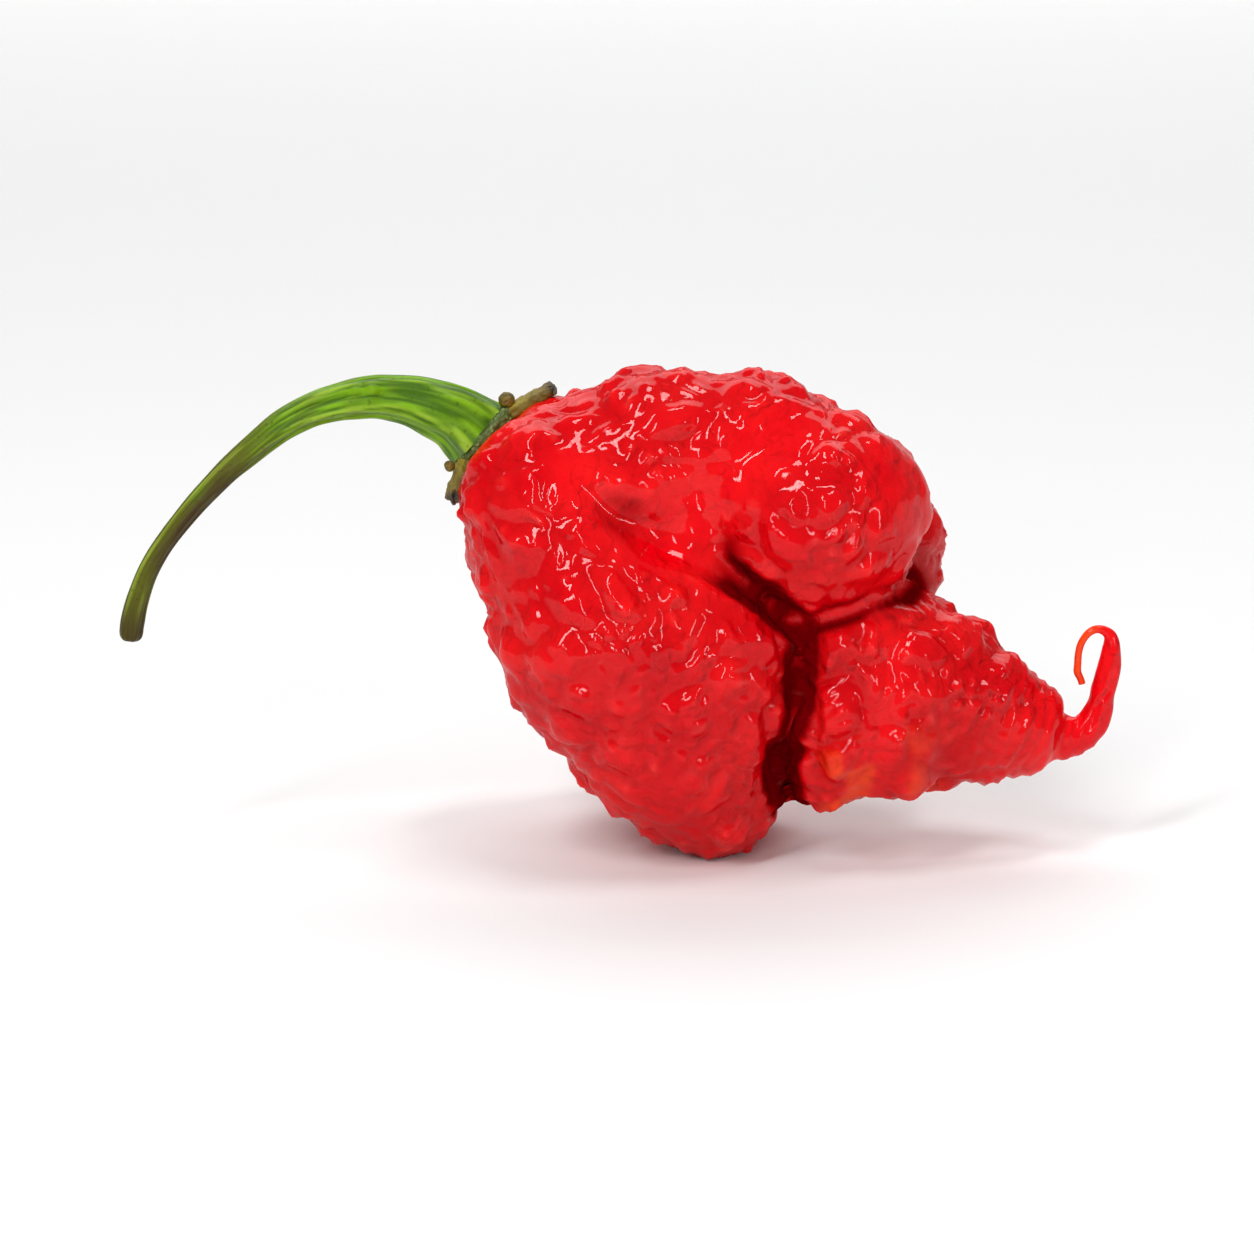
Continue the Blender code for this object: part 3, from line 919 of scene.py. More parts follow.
@dataclass
class Pod:
    """The fruit: lobes run together, folded, blistered, and drawn out into a hooked tail."""

    seat: CalyxFace
    finish: SkinFinish
    lobes: tuple[Lobe, ...] = (
        Lobe(2.5, ((-11.0, 1.5, 28.0, 8.5), (-2.0, 2.5, 22.0, 11.0), (9.0, 1.5, 19.0, 8.5))),
        Lobe(2.5, ((-15.2, 0.5, 31.6, 6.9), (-12.5, 1.0, 30.5, 8.0))),
        Lobe(1.2, (
            (-15.0, -4.8, 32.2, 7.5),
            (-8.5, -6.5, 20.0, 10.2),
            (-3.6, -6.2, 11.5, 8.3),
            (0.2, -4.8, 5.9, 6.4),
        )),
        Lobe(1.4, (
            (-8.0, -6.2, 25.0, 8.4),
            (-1.0, -6.8, 19.6, 8.1),
            (-0.9, -6.8, 15.5, 7.7),
            (-2.0, -6.2, 9.0, 6.4),
        )),
        Lobe(1.8, ((-13.2, -0.5, 35.0, 5.8), (-8.0, -1.0, 35.8, 6.7))),
        Lobe(3.0, ((-13.0, -4.0, 33.8, 6.2), (-8.0, -5.0, 33.0, 6.0), (-3.5, -5.5, 31.0, 5.8))),
        Lobe(2.4, ((-5.0, -3.5, 37.6, 6.4), (-1.0, -2.5, 37.6, 6.0))),
        Lobe(1.2, (
            (-1.0, -4.0, 33.2, 5.0),
            (3.6, -3.0, 35.0, 8.0),
            (9.0, -4.9, 31.2, 9.0),
            (14.0, -3.5, 31.8, 5.6),
        )),
        Lobe(1.0, (
            (16.4, -3.0, 15.4, 9.0),
            (21.4, -3.0, 13.4, 6.8),
            (25.6, -3.0, 12.1, 4.6),
            (28.4, -3.0, 11.3, 3.4),
            (30.9, -3.0, 10.4, 2.4),
            (32.6, -3.0, 10.2, 1.8),
        )),
        Lobe(0.8, ((12.9, -5.6, 18.8, 6.6), (12.6, -6.4, 12.4, 5.8), (10.3, -6.4, 7.9, 3.7))),
        Lobe(0.7, ((15.8, -5.6, 12.6, 6.8), (15.6, -6.6, 9.6, 4.4))),
        Lobe(1.4, ((15.2, 8.0, 26.3, 6.4), (13.5, 8.0, 18.5, 7.0))),
        Lobe(1.6, ((-15.0, 5.5, 27.0, 7.6), (-5.0, 8.5, 14.0, 10.2), (1.6, 5.8, 5.9, 6.4))),
        Lobe(1.8, ((-12.0, 5.5, 33.0, 6.8), (2.0, 7.5, 29.5, 9.2), (11.0, 6.5, 27.0, 8.2))),
        Lobe(1.5, ((0.6, 0.6, 5.6, 6.4), (1.0, 1.0, 9.0, 7.0))),
    )
    # A fold's fourth number is painted shade: the cleft between the front lobes and the tail is painted
    # dark, and light is painted into the tuck under the upper lobe.
    folds: tuple[Fold, ...] = (
        Fold(1.4, 2.4, ((-13.0, -8.5, 34.8), (-8.4, -10.5, 32.2), (-4.6, -11.5, 30.2))),
        Fold(0.9, 1.4, ((-4.0, -11.0, 30.4), (0.4, -11.5, 27.2), (6.6, -10.0, 22.8))),
        Fold(0.7, 0.9, ((7.2, -8.4, 21.5), (6.9, -8.0, 16.0), (6.2, -7.0, 9.5)), 1.0),
        Fold(0.5, 1.0, ((8.0, -8.6, 22.8), (12.6, -8.6, 25.2), (18.4, -5.5, 28.2)), -0.75),
        Fold(0.9, 1.2, (
            (15.6, -11.0, 22.5),
            (16.0, -12.6, 16.0),
            (14.4, -12.4, 10.5),
            (13.2, -10.0, 6.5),
        )),
        Fold(1.4, 2.6, ((-4.0, -11.0, 30.5), (1.0, -11.5, 35.5), (5.5, -10.0, 39.5))),
    )
    # Stations: x, y, z, pitch of the ring's normal in degrees, radius, reach.
    spine: tuple[tuple[float, ...], ...] = (
        (-14.0, 0.5, 31.5, -42.0, 9.0, 30.0),
        (-8.0, 0.3, 27.5, -38.0, 9.0, 30.0),
        (-3.0, 0.0, 24.0, -32.0, 9.0, 30.0),
        (1.5, -0.8, 21.5, -24.0, 9.0, 30.0),
        (5.5, -1.2, 20.0, -15.0, 9.0, 30.0),
        (8.5, -1.5, 19.5, -11.0, 9.0, 30.0),
        (9.7, -1.8, 18.3, -17.0, 9.0, 30.0),
        (10.6, -2.0, 18.0, -23.0, 9.0, 30.0),
        (11.2, -2.2, 17.6, -30.0, 9.0, 30.0),
        (12.7, -2.4, 16.2, -27.0, 9.0, 28.0),
        (14.9, -2.7, 15.0, -26.0, 9.0, 24.0),
        (18.2, -3.0, 14.4, -22.0, 8.0, 18.0),
        (22.0, -3.0, 13.4, -20.0, 6.5, 11.0),
        (25.8, -3.0, 12.1, -18.0, 4.5, 8.0),
        (28.6, -3.0, 11.3, -18.0, 3.35, 6.0),
        (31.0, -3.0, 10.5, -14.0, 2.4, 4.0),
    )
    stinger: tuple[tuple[float, ...], ...] = (
        (32.9, -3.0, 10.5, 8.0, 1.75, 3.0),
        (34.2, -3.0, 11.6, 52.0, 1.45, 3.0),
        (34.9, -3.0, 13.4, 72.0, 1.25, 3.0),
        (35.2, -3.0, 15.2, 80.0, 1.15, 3.0),
        (35.6, -3.0, 17.0, 80.0, 1.05, 3.0),
        (35.8, -3.0, 18.6, 90.0, 0.85, 3.0),
        (35.6, -3.0, 19.8, 122.0, 0.58, 3.0),
        (34.7, -3.0, 20.3, 170.0, 0.40, 3.0),
        (33.8, -3.0, 20.0, 215.0, 0.37, 3.0),
        (33.1, -3.0, 19.0, 245.0, 0.36, 3.0),
        (32.8, -3.0, 17.6, 268.0, 0.35, 3.0),
        (32.9, -3.0, 16.3, 280.0, 0.34, 3.0),
        (33.2, -3.0, 15.3, 285.0, 0.30, 3.0),
    )
    # Two pimples on the tail: x and z, then their height and width.
    pimples: tuple[tuple[float, float], ...] = ((22.0, 16.6), (24.3, 16.3))
    pimple: tuple[float, float] = (0.55, 0.62)
    wrinkle_height: float = 0.17
    wrinkle_pitch: float = 1.25
    shade_reach: float = 1.9
    calm_reach: float = 2.4
    seat_blend: float = 0.6
    # Where the upper lobe's skin is drawn tight: the middle and the half sizes of the spot.
    taut: tuple[Place, Place] = ((15.0, -7.0, 33.0), (5.5, 6.0, 6.0))
    lumps: Blisters = Blisters(4.6, 0.74, 0.22)
    blisters: Blisters = Blisters(1.9, 0.36, 0.30, 0.9, 0.9)
    # The fan of rays over the calyx end, in degrees from the spine, and where the body's rings start.
    fan: tuple[float, float] = (178.0, 96.0)
    body_start: float = 1.2
    sides: int = 104
    fan_rings: int = 10
    body_rings: int = 48
    stinger_rings: int = 24
    rounds: int = 70
    ironings: int = 16
    finer_along: int = 4
    finer_around: int = 4
    # Millimetres of spine that a radian of turn counts for, the longest move of a point in one step,
    # and how far out the skin looks for a lobe that shuts it in.
    swing: float = 22.0
    longest_move: float = 0.6
    open_reach: float = 3.4
    steps: int = 70
    halvings: int = 12

    def distance(self, p: Array) -> Array:
        """Roughly how far points are outside the bare form: its lobes, folded and cut by the seat.

        Args:
            p: points.

        Returns:
            Distances, negative inside.
        """
        body = self.lobes[0].distance(p)
        for lobe in self.lobes[1:]:
            body = soft_union(body, lobe.distance(p), lobe.blend)
        for fold in self.folds:
            body = body + fold.depth * fold.near(p)
        return -soft_union(-body, -self.seat.above(p), self.seat_blend)

    def slope(self, p: Array, step: float = 0.05) -> Array:
        """The distance's rate of change along X, Y and Z, from points one small step either way.

        Args:
            p: points.
            step: the small step in millimetres.

        Returns:
            The three rates at each point.
        """
        change = np.empty_like(p)
        for axis in range(3):
            move = np.zeros(3)
            move[axis] = step
            change[..., axis] = (self.distance(p + move) - self.distance(p - move)) / (2 * step)
        return change

    def stations(self) -> tuple[Array, Array]:
        """Each ring's station and the angle of its rays, from the calyx to the hook's tip.

        Rings are spread evenly by how far the spine runs and how far its rings turn.

        Returns:
            The stations and the angles in radians.
        """
        spine = np.array(self.spine)
        run = np.linalg.norm(np.diff(spine[:, :3], axis=0), axis=1)
        turn = np.abs(np.diff(np.radians(spine[:, 3]))) * self.swing
        passed = np.concatenate([[0.0], np.cumsum(run + turn)])
        evenly = np.linspace(self.body_start, passed[-1], self.body_rings)
        body = np.interp(evenly, passed, np.arange(len(spine)))
        tip = len(spine) + len(self.stinger) - 1
        thin = np.linspace(len(spine) - 1, tip, self.stinger_rings + 1)[1:]
        places = np.concatenate([np.zeros(self.fan_rings), body, thin])
        rays = np.full(len(places), 90.0)
        rays[: self.fan_rings] = np.linspace(*self.fan, self.fan_rings)
        return smooth_rows(self.spine + self.stinger, places), np.radians(rays)

    def bare(self) -> tuple[Array, Array]:
        """The bare form as rings: the furthest point of the form along each ray from the spine.

        Returns:
            The rings, and for each ring how much it is a plain sweep of its station's radius.
        """
        stations, rays = self.stations()
        centre = stations[:, :3]
        pitch = np.radians(stations[:, 3])
        ahead = np.stack([np.cos(pitch), 0 * pitch, np.sin(pitch)], 1)
        across = np.array([0.0, 1.0, 0.0])
        up = np.cross(ahead, across)
        turn = np.arange(self.sides) * 2 * np.pi / self.sides
        ring = np.cos(turn)[None, :, None] * across + np.sin(turn)[None, :, None] * up[:, None]
        ray = np.cos(rays)[:, None, None] * ahead[:, None] + np.sin(rays)[:, None, None] * ring
        reach = stations[:, 5][:, None]
        steps = np.linspace(0.0, 1.0, self.steps)
        points = centre[:, None, None] + ray[:, :, None] * (steps * reach[..., None])[..., None]
        inside = self.distance(points) < 0
        last = self.steps - 1 - np.argmax(inside[:, :, ::-1], axis=2)
        near = steps[last] * reach
        far = steps[np.minimum(last + 1, self.steps - 1)] * reach
        for _ in range(self.halvings):
            middle = (near + far) / 2
            within = self.distance(centre[:, None] + ray * middle[..., None]) < 0
            near = np.where(within, middle, near)
            far = np.where(within, far, middle)
        tail = self.fan_rings + self.body_rings - 8
        swept = ramp(np.arange(len(stations)), tail, 7.0)[:, None]
        radius = near * (1 - swept) + stations[:, 4][:, None] * swept
        return centre[:, None] + ray * radius[..., None], swept

    def onto_form(self, grid: Array, free: Array, ironed: bool) -> Array:
        """Moves points along the slope to the bare form, by the distance over the slope's steepness.

        Args:
            grid: rings of points.
            free: how far each point may follow.
            ironed: leaves points loose where the skin faces away from the form's slope.

        Returns:
            The moved rings.
        """
        rise = self.slope(grid)
        steep = np.einsum("...i,...i->...", rise, rise) + 1e-9
        move = (self.distance(grid) / steep)[..., None] * rise
        length = np.linalg.norm(move, axis=-1, keepdims=True) + 1e-9
        move = move * np.minimum(1.0, self.longest_move / length)
        if ironed:
            agree = np.einsum("...i,...i->...", facing(grid), rise) / np.sqrt(steep)
            move = move * ramp(agree, 0.2, 0.5)[..., None]
        return grid - move * free

    def settled(self, grid: Array, swept: Array) -> Array:
        """Spreads the points evenly over the form, which draws them into folds that no ray reaches.

        Args:
            grid: rings of points.
            swept: how much each ring is a plain sweep, and so stays as it is.

        Returns:
            The rings after each point has moved towards its neighbours' middle and back onto the form.
        """
        free = (1 - swept)[..., None]
        loose = free * (np.arange(len(grid)) > 1)[:, None, None]
        for i in range(self.rounds):
            along = grid.copy()
            along[1:-1] = (grid[2:] + grid[:-2]) / 2
            around = (np.roll(grid, 1, 1) + np.roll(grid, -1, 1)) / 2
            grid = grid + (0.5 * (around + along) - grid) * 0.5 * loose
            grid = self.onto_form(grid, free, i >= self.rounds - self.ironings)
        return grid

    def fold_share(self, p: Array) -> Array:
        """Runs from 0 in the bottom of a fold to 1 a few fold widths away from all of them.

        Args:
            p: points.

        Returns:
            Shares from 0 to 1.
        """
        keep = np.ones(p.shape[:-1])
        for fold in self.folds:
            keep = keep * smooth_step(line_distance(p, fold.line) / (self.calm_reach * fold.width))
        return keep

    def shade(self, p: Array) -> Array:
        """How much painted shade the folds add at each point, or take away where it is negative: most on
        a fold's line, gone about four widths away.

        Args:
            p: points.

        Returns:
            What is added to the painted shade.
        """
        dark = np.zeros(p.shape[:-1])
        for fold in self.folds:
            dark = dark + fold.shade * fold.near(p, self.shade_reach)
        return dark

    def keeps(self, p: Array, swept: Array) -> Array:
        """How much of the relief each point keeps: none at the calyx, little in folds and on taut skin.

        Args:
            p: points of the bare form.
            swept: how much each ring is a plain sweep.

        Returns:
            Shares from 0 to about 1.2.
        """
        from_seat = np.linalg.norm(p - np.array(self.seat.middle), axis=-1)
        low, high = self.seat.bare
        keep = ramp(from_seat, low, high - low)
        keep = keep * (0.12 + 0.88 * self.fold_share(p))
        middle, size = np.array(self.taut)
        taut = np.linalg.norm((p - middle) / size, axis=-1)
        keep = keep * (0.25 + 0.75 * ramp(taut, 0.7, 0.6))
        on_tail = ramp(p[..., 0], 6.0, 4.0) * ramp(p[..., 2], 26.0, -4.0)
        return keep * (1.0 + 0.25 * on_tail) * (1.0 - 0.85 * swept)

    def relief(self, fine: Array, keep: Array, lumps: Array, blisters: Array) -> Array:
        """Height of the skin over the bare form: lumps, blisters, the tail's wrinkles and its pimples.

        The wrinkles are a sine wave along the tail, bent by soft noise. A pimple's height fades as
        exp(-(distance / width)^2).

        Args:
            fine: points of the bare form.
            keep: how much of the relief each point keeps.
            lumps: rise of the large layer.
            blisters: rise of the small layer.

        Returns:
            Heights in millimetres.
        """
        x, y, z = (fine[..., i] for i in range(3))
        patchy = 0.55 + 0.9 * mottle(fine, 7.0)
        height = self.lumps.height * (lumps - 0.5) * keep
        height = height + self.blisters.height * (blisters - 0.4) * np.minimum(keep, 1.0) * patchy
        bent = x - 0.35 * z + 1.3 * mottle(fine, 2.2)
        wrinkle = np.sin(2 * np.pi * bent / self.wrinkle_pitch)
        near_tip = ramp(x, 21.0, 4.0) * ramp(z, 19.0, -3.0)
        height = height + self.wrinkle_height * wrinkle * near_tip
        tall, wide = self.pimple
        for middle_x, middle_z in self.pimples:
            off = np.hypot(x - middle_x, z - middle_z)
            height = height + tall * np.exp(-((off / wide) ** 2)) * (y < -3.0)
        return height

    def warmth(self, fine: Array) -> Array:
        """How orange each point is: in patches under the tail, along the filament and by the calyx.

        Args:
            fine: points of the skin.

        Returns:
            Shares from 0 to 1.
        """
        x, z = fine[..., 0], fine[..., 2]
        under_tail = ramp(x, 8.5, 3.0) * ramp(z, 14.5, -6.0)
        under_tail = under_tail * ramp(x, 22.0, -5.0)
        # Orange in soft patches of noise.
        orange_patches = ramp(mottle(fine, 2.6), 0.45, 0.22)
        filament = ramp(np.arange(len(fine)) / len(fine), 0.87, 0.04)[:, None]
        from_seat = np.linalg.norm(fine - np.array(self.seat.middle), axis=-1)
        by_calyx = ramp(from_seat, 7.0, -3.0)
        warm = 0.7 * under_tail * orange_patches + 0.8 * filament + 0.5 * by_calyx
        return np.clip(warm, 0.0, 1.0)

    def every(self, rings: int) -> Array:
        """How many points each fine ring moves on by: 1 on the body, 2 and then 4 towards both ends.

        Args:
            rings: how many fine rings there are.

        Returns:
            A whole number for each ring.
        """
        stinger = self.fan_rings + self.body_rings
        every = np.ones(rings, int)
        every[: 5 * self.finer_along] = 2
        every[: 2 * self.finer_along] = 4
        every[(stinger - 14) * self.finer_along:] = 2
        every[stinger * self.finer_along:] = 4
        return every

    def build(self) -> Skin:
        """Works out the fine surface and the values that its finish reads.

        Returns:
            The surface with the painted shade, the painted highlight on crests and warm at every point.
        """
        grid, swept = self.bare()
        grid = self.settled(grid, swept)
        LOG.info("pod: bare form of %d rings", len(grid))
        fine = refined(grid, self.finer_along, self.finer_around)
        share = smooth_rows(swept, np.arange(len(fine)) / self.finer_along)
        share = np.clip(share, 0.0, 1.0)
        free = (1 - share)[..., None]
        fine = self.onto_form(fine, free, True)
        rise = self.slope(fine)
        steep = np.minimum(np.linalg.norm(rise, axis=-1, keepdims=True), 1.0)
        out = eased(unit(rise * free + facing(fine) * (1 - steep * free)), 3)
        keep = self.keeps(fine, share) * (0.3 + 0.7 * ramp(steep[..., 0], 0.5, 0.4))
        room = self.distance(fine + out * self.open_reach) / self.open_reach
        shut = (1 - np.clip(room, 0.0, 1.0)) * free[..., 0]
        lumps = self.lumps.rise(fine)
        blisters = self.blisters.rise(fine)
        height = self.relief(fine, keep, lumps, blisters)
        fine = fine + out * (height * (1 - 0.6 * share))[..., None]
        fine = fine - np.maximum(self.seat.above(fine), 0.0)[..., None] * self.seat.axis
        fine[..., 2] = np.maximum(fine[..., 2], 0.0)
        # Painted shade: darker between blisters, where nearby lobes shut the skin in and on the folds'
        # lines; painted lighter along the tuck.
        between = 1 - np.clip(0.55 * blisters + 0.45 * lumps, 0.0, 1.0)
        hollow = 0.3 * between * keep + 1.1 * ramp(shut, 0.25, 0.6) + self.shade(fine)
        hollow = np.clip(hollow, 0.0, 1.0)
        # Painted highlight: paler on the crests of blisters.
        crest = ramp(blisters, 0.6, 0.4) * np.minimum(keep, 1.0)
        warm = self.warmth(fine)
        return Skin.over(fine, self.every(len(fine)), hollow=hollow, crest=crest, warm=warm)

    def dress(self) -> bpy.types.Object:
        """Makes the pod, finishes it and sets it in the place of its solid.

        Returns:
            The piece.
        """
        piece = self.build().piece("pod_skin")
        piece.data.materials.append(self.finish.material())
        settle_in(piece, Solid.POD)
        return piece


@dataclass
class Stem:
    """The ribbed stalk, widest at the calyx and a little swollen at its cut end."""

    seat: CalyxFace
    finish: StemFinish
    # The middle line and the radius, from the calyx out: x, y, z, radius.
    line: tuple[tuple[float, float, float, float], ...] = (
        (-20.8, 0.3, 37.4, 3.30),
        (-22.5, 0.2, 38.9, 2.85),
        (-25.1, 0.1, 40.0, 2.45),
        (-27.8, 0.0, 40.7, 2.05),
        (-30.5, -0.2, 40.8, 1.80),
        (-33.2, -0.4, 40.4, 1.60),
        (-35.9, -0.7, 39.6, 1.40),
        (-38.5, -1.0, 38.2, 1.28),
        (-40.9, -1.3, 36.3, 1.15),
        (-43.5, -1.6, 34.0, 1.02),
        (-46.0, -2.0, 31.4, 0.92),
        (-48.3, -2.3, 28.6, 0.86),
        (-50.1, -2.6, 25.8, 0.88),
        (-51.2, -2.8, 23.0, 0.94),
        (-51.7, -2.9, 20.9, 1.02),
        (-51.9, -3.0, 19.2, 1.00),
    )
    ribs: int = 5
    rib_depth: float = 0.085
    streak_depth: float = 0.022
    # Warts: place, height and how wide each is.
    warts: tuple[tuple[Place, float, float], ...] = (
        ((-30.1, -1.6, 41.7), 0.50, 0.65),
        ((-31.5, -1.7, 41.6), 0.32, 0.55),
        ((-32.7, -1.8, 41.3), 0.22, 0.5),
    )
    sides: int = 120
    rings: int = 400
    end_rings: int = 40

    def build(self) -> Skin:
        """Works out the stalk: a circle carried along the middle line, ribbed, fibrous and warted.

        The radius is multiplied by 1 plus the rib depth times the cosine of five times the angle,
        which twists slowly, and by finer streaks that run with the stalk.

        Returns:
            The surface with along, rib, fibre and dry at every point.
        """
        last = len(self.line) - 1
        shaft = np.linspace(0, last - 0.6, self.rings)
        places = np.concatenate([shaft, np.linspace(last - 0.59, last, self.end_rings)])
        column = places[:, None]
        rows = smooth_rows(self.line, places)
        ahead = unit(np.gradient(rows[:, :3], axis=0))
        turned = smooth_step(places / 1.6)[:, None]
        ahead = unit(self.seat.axis * (1 - turned) + ahead * turned)
        side = unit(np.cross(ahead, [0.0, 1.0, 0.0]))
        other = np.cross(ahead, side)
        turn = np.arange(self.sides) * 2 * np.pi / self.sides
        twist = turn[None] + 0.25 * column / len(self.line)
        ribbed = np.cos(self.ribs * twist)
        streak_at = round_a_drum(twist, 3.2, 0.42 * column)
        streaks = 0.6 * mottle(streak_at, 0.55) + 0.4 * mottle(streak_at + 7.0, 0.27)
        lumpy = mottle(round_a_drum(twist, 2.0, 1.6 * column), 1.0)
        fade = np.clip((last - places) / 0.6, 0.0, 1.0)
        rounded = 0.30 + 0.70 * np.sqrt(1 - (1 - fade) ** 2)
        fine = np.cos(3 * self.ribs * twist + 2.0 * np.sin(2 * twist)) * (0.3 + streaks)
        swell = 1 + self.rib_depth * ribbed + self.streak_depth * fine
        swell = swell + 0.09 * (streaks - 0.5) + 0.06 * (lumpy - 0.5)
        radius = rows[:, 3:4] * rounded[:, None] * swell
        cos, sin = np.cos(turn)[None, :, None], np.sin(turn)[None, :, None]
        grid = rows[:, None, :3] + radius[..., None] * (cos * side[:, None] + sin * other[:, None])
        wart = 0 * twist
        for place, height, width in self.warts:
            away = np.linalg.norm(grid - np.array(place), axis=-1)
            wart = np.maximum(wart, height * np.exp(-((away / width) ** 2)))
        grid = grid + facing(grid) * wart[..., None]
        along = column / last + 0 * twist
        rib = ramp(ribbed, 0.3, 0.6) * ramp(streaks, 0.35, 0.35)
        tip = ramp(along, 0.80, 0.16)
        under = smooth_step(0.25 + 0.9 * np.cos(turn - 0.5))[None]
        brown = ramp(along, 0.52, 0.1) * ramp(along, 0.86, -0.1) * under
        dry = np.clip(0.78 * tip + 1.0 * brown * (0.35 + streaks) + 0.2 * wart, 0.0, 1.0)
        return Skin.over(grid, along=along, rib=rib, fibre=streaks, dry=dry)

    def dress(self) -> bpy.types.Object:
        """Makes the stem, finishes it and sets it in the place of its solid.

        Returns:
            The piece.
        """
        piece = self.build().piece("stem_stalk")
        piece.data.materials.append(self.finish.material())
        settle_in(piece, Solid.STEM)
        return piece


@dataclass(frozen=True)
class Sepal:
    """One dried lobe of the calyx: its angle round the rim from the top, and its sizes."""

    angle: float
    reach: float
    width: float
    thickness: float
    droop: float
    seed: float


@dataclass(frozen=True)
class Knob:
    """A small dry knob on the calyx: angle round the rim, distance out and radius."""

    angle: float
    out: float
    radius: float


@dataclass
class Calyx:
    """The thin cap between pod and stem, its dried lobes and its knobs."""

    seat: CalyxFace
    cap_finish: CapFinish
    dried_finish: DriedFinish
    gap: float = 0.3
    radius: float = 3.7
    thickness: float = 1.3
    # The cap's section: shares of its radius and of its thickness, from underneath to the top.
    section: tuple[tuple[float, float], ...] = (
        (0.30, 0.00), (0.90, 0.00), (0.97, 0.12), (1.02, 0.35), (1.04, 0.55),
        (1.02, 0.78), (0.96, 0.94), (0.88, 1.00), (0.84, 0.98), (0.30, 0.98),
    )
    # Where a sepal starts, how much of it lies on the cap and where it droops, in radii of the cap.
    sepal_start: float = 0.72
    sepal_root: float = 0.35
    sepal_bend: float = 0.6
    sepal_lift: float = 0.9
    sepals: tuple[Sepal, ...] = (
        Sepal(4.0, 3.4, 3.0, 1.45, 0.31, 1.0),
        Sepal(154.0, 2.5, 3.2, 1.7, 0.34, 2.0),
        Sepal(196.0, 2.8, 2.2, 1.1, 0.42, 3.0),
        Sepal(246.0, 1.2, 1.9, 1.0, 0.25, 4.0),
        Sepal(305.0, 1.6, 2.2, 1.1, 0.25, 5.0),
    )
    knobs: tuple[Knob, ...] = (Knob(14.0, 3.9, 0.74), Knob(143.0, 4.7, 0.50), Knob(262.0, 4.0, 0.5))

    def spot(self, angle: float | Array) -> Array:
        """The direction in the calyx's plane at an angle from the top, towards the viewer.

        Args:
            angle: degrees.

        Returns:
            A unit vector for each angle.
        """
        axis = self.seat.axis
        top = np.array([axis[2], 0.0, -axis[0]])
        turn = np.radians(angle)
        return np.cos(turn)[..., None] * top + np.sin(turn)[..., None] * np.array([0.0, -1.0, 0.0])

    def cap(self) -> Skin:
        """Works out the cap: a low drum with a rounded, grainy rim that wavers all round.

        Returns:
            The surface with the painted shade between grains at every point.
        """
        turn = np.linspace(0, 360, 241)[:-1]
        rows = smooth_rows(self.section, np.linspace(0, len(self.section) - 1, 70))
        share, level = rows[:, :1], rows[:, 1:2]
        loop = round_a_drum(np.radians(turn), 4.0, 0.0)
        waver = 1 + 0.10 * (mottle(loop, 1.6) - 0.5) + 0.05 * (mottle(loop + 9.0, 0.7) - 0.5)
        out = 0.96 * self.radius * share * np.where(share > 0.5, waver[None], 1.0)
        rise = self.gap + self.thickness * level + 0 * out
        ring = out[..., None] * self.spot(turn)[None]
        grid = np.array(self.seat.middle) + ring + rise[..., None] * self.seat.axis
        grid = grid[:, ::-1]
        grains = Blisters(0.55, 0.12, 0.25, 0.7)
        grained = grains.rise(grid)
        rim = ramp(share, 0.7, 0.2)
        grid = grid + facing(grid) * (grains.height * (grained - 0.5) * rim)[..., None]
        every = np.ones(len(grid), int)
        every[:12] = 2
        every[-12:] = 2
        # Painted shade between the rim's grains.
        return Skin.over(grid, every, hollow=(1 - grained) * rim + 0 * out)

    def sepal(self, one: Sepal) -> Skin:
        """Works out one dried lobe: a rounded slab carried outwards from the rim, broken off ragged.

        Its section is a squared circle. Its width flares a little, its end is torn by noise across
        its width, and its sides and faces are wrinkled by finer noise.

        Args:
            one: the lobe.

        Returns:
            The surface with tip and the dark edges at every point.
        """
        t = np.concatenate([[0.0, 0.01], np.linspace(0.03, 0.96, 44), [0.985, 0.998, 1.0]])[:, None]
        turn = np.linspace(0, 2 * np.pi, 73)[:-1]
        cos, sin = np.cos(turn), np.sin(turn)
        squared = (np.abs(cos) ** 4 + np.abs(sin) ** 4) ** -0.25
        across = (cos * squared)[None]
        over = (sin * squared)[None]
        last_end = np.clip((1 - t) / 0.04, 0.0, 1) * 0.98 + 0.02
        ends = np.sqrt(np.where(t < 0.5, np.clip(t / 0.03, 0.02, 1), last_end))
        half = 0.5 * one.width * (0.86 + 0.2 * t) * ends
        deep = 0.5 * one.thickness * (1.0 - 0.25 * t) * ends
        length = self.radius * self.sepal_root + one.reach
        torn = mottle(np.stack([2.0 * across, 0.6 * over, one.seed + 0 * across], -1), 0.45) - 0.5
        out = self.radius * self.sepal_start + length * t + 0.55 * torn * ramp(t, 0.5, 0.5)
        axis = self.seat.axis
        forward = self.spot(np.array(one.angle))
        beside = np.cross(axis, forward)
        lift = self.sepal_lift - one.droop * (out - self.sepal_bend * self.radius)
        grid = (
            np.array(self.seat.middle)
            + out[..., None] * forward
            + (half * across)[..., None] * beside
            + (lift + deep * over)[..., None] * axis
        )
        rough = mottle(grid + one.seed, 0.55) - 0.5 + 0.5 * (mottle(grid - one.seed, 0.24) - 0.5)
        grid = grid + facing(grid) * (0.22 * rough * ends)[..., None]
        tip = t + 0 * across
        edge = np.clip(0.8 * ramp(t, 0.93, 0.06) + 0.5 * (np.abs(across) > 0.93), 0, 1)
        return Skin.over(grid, tip=tip, edge=edge)

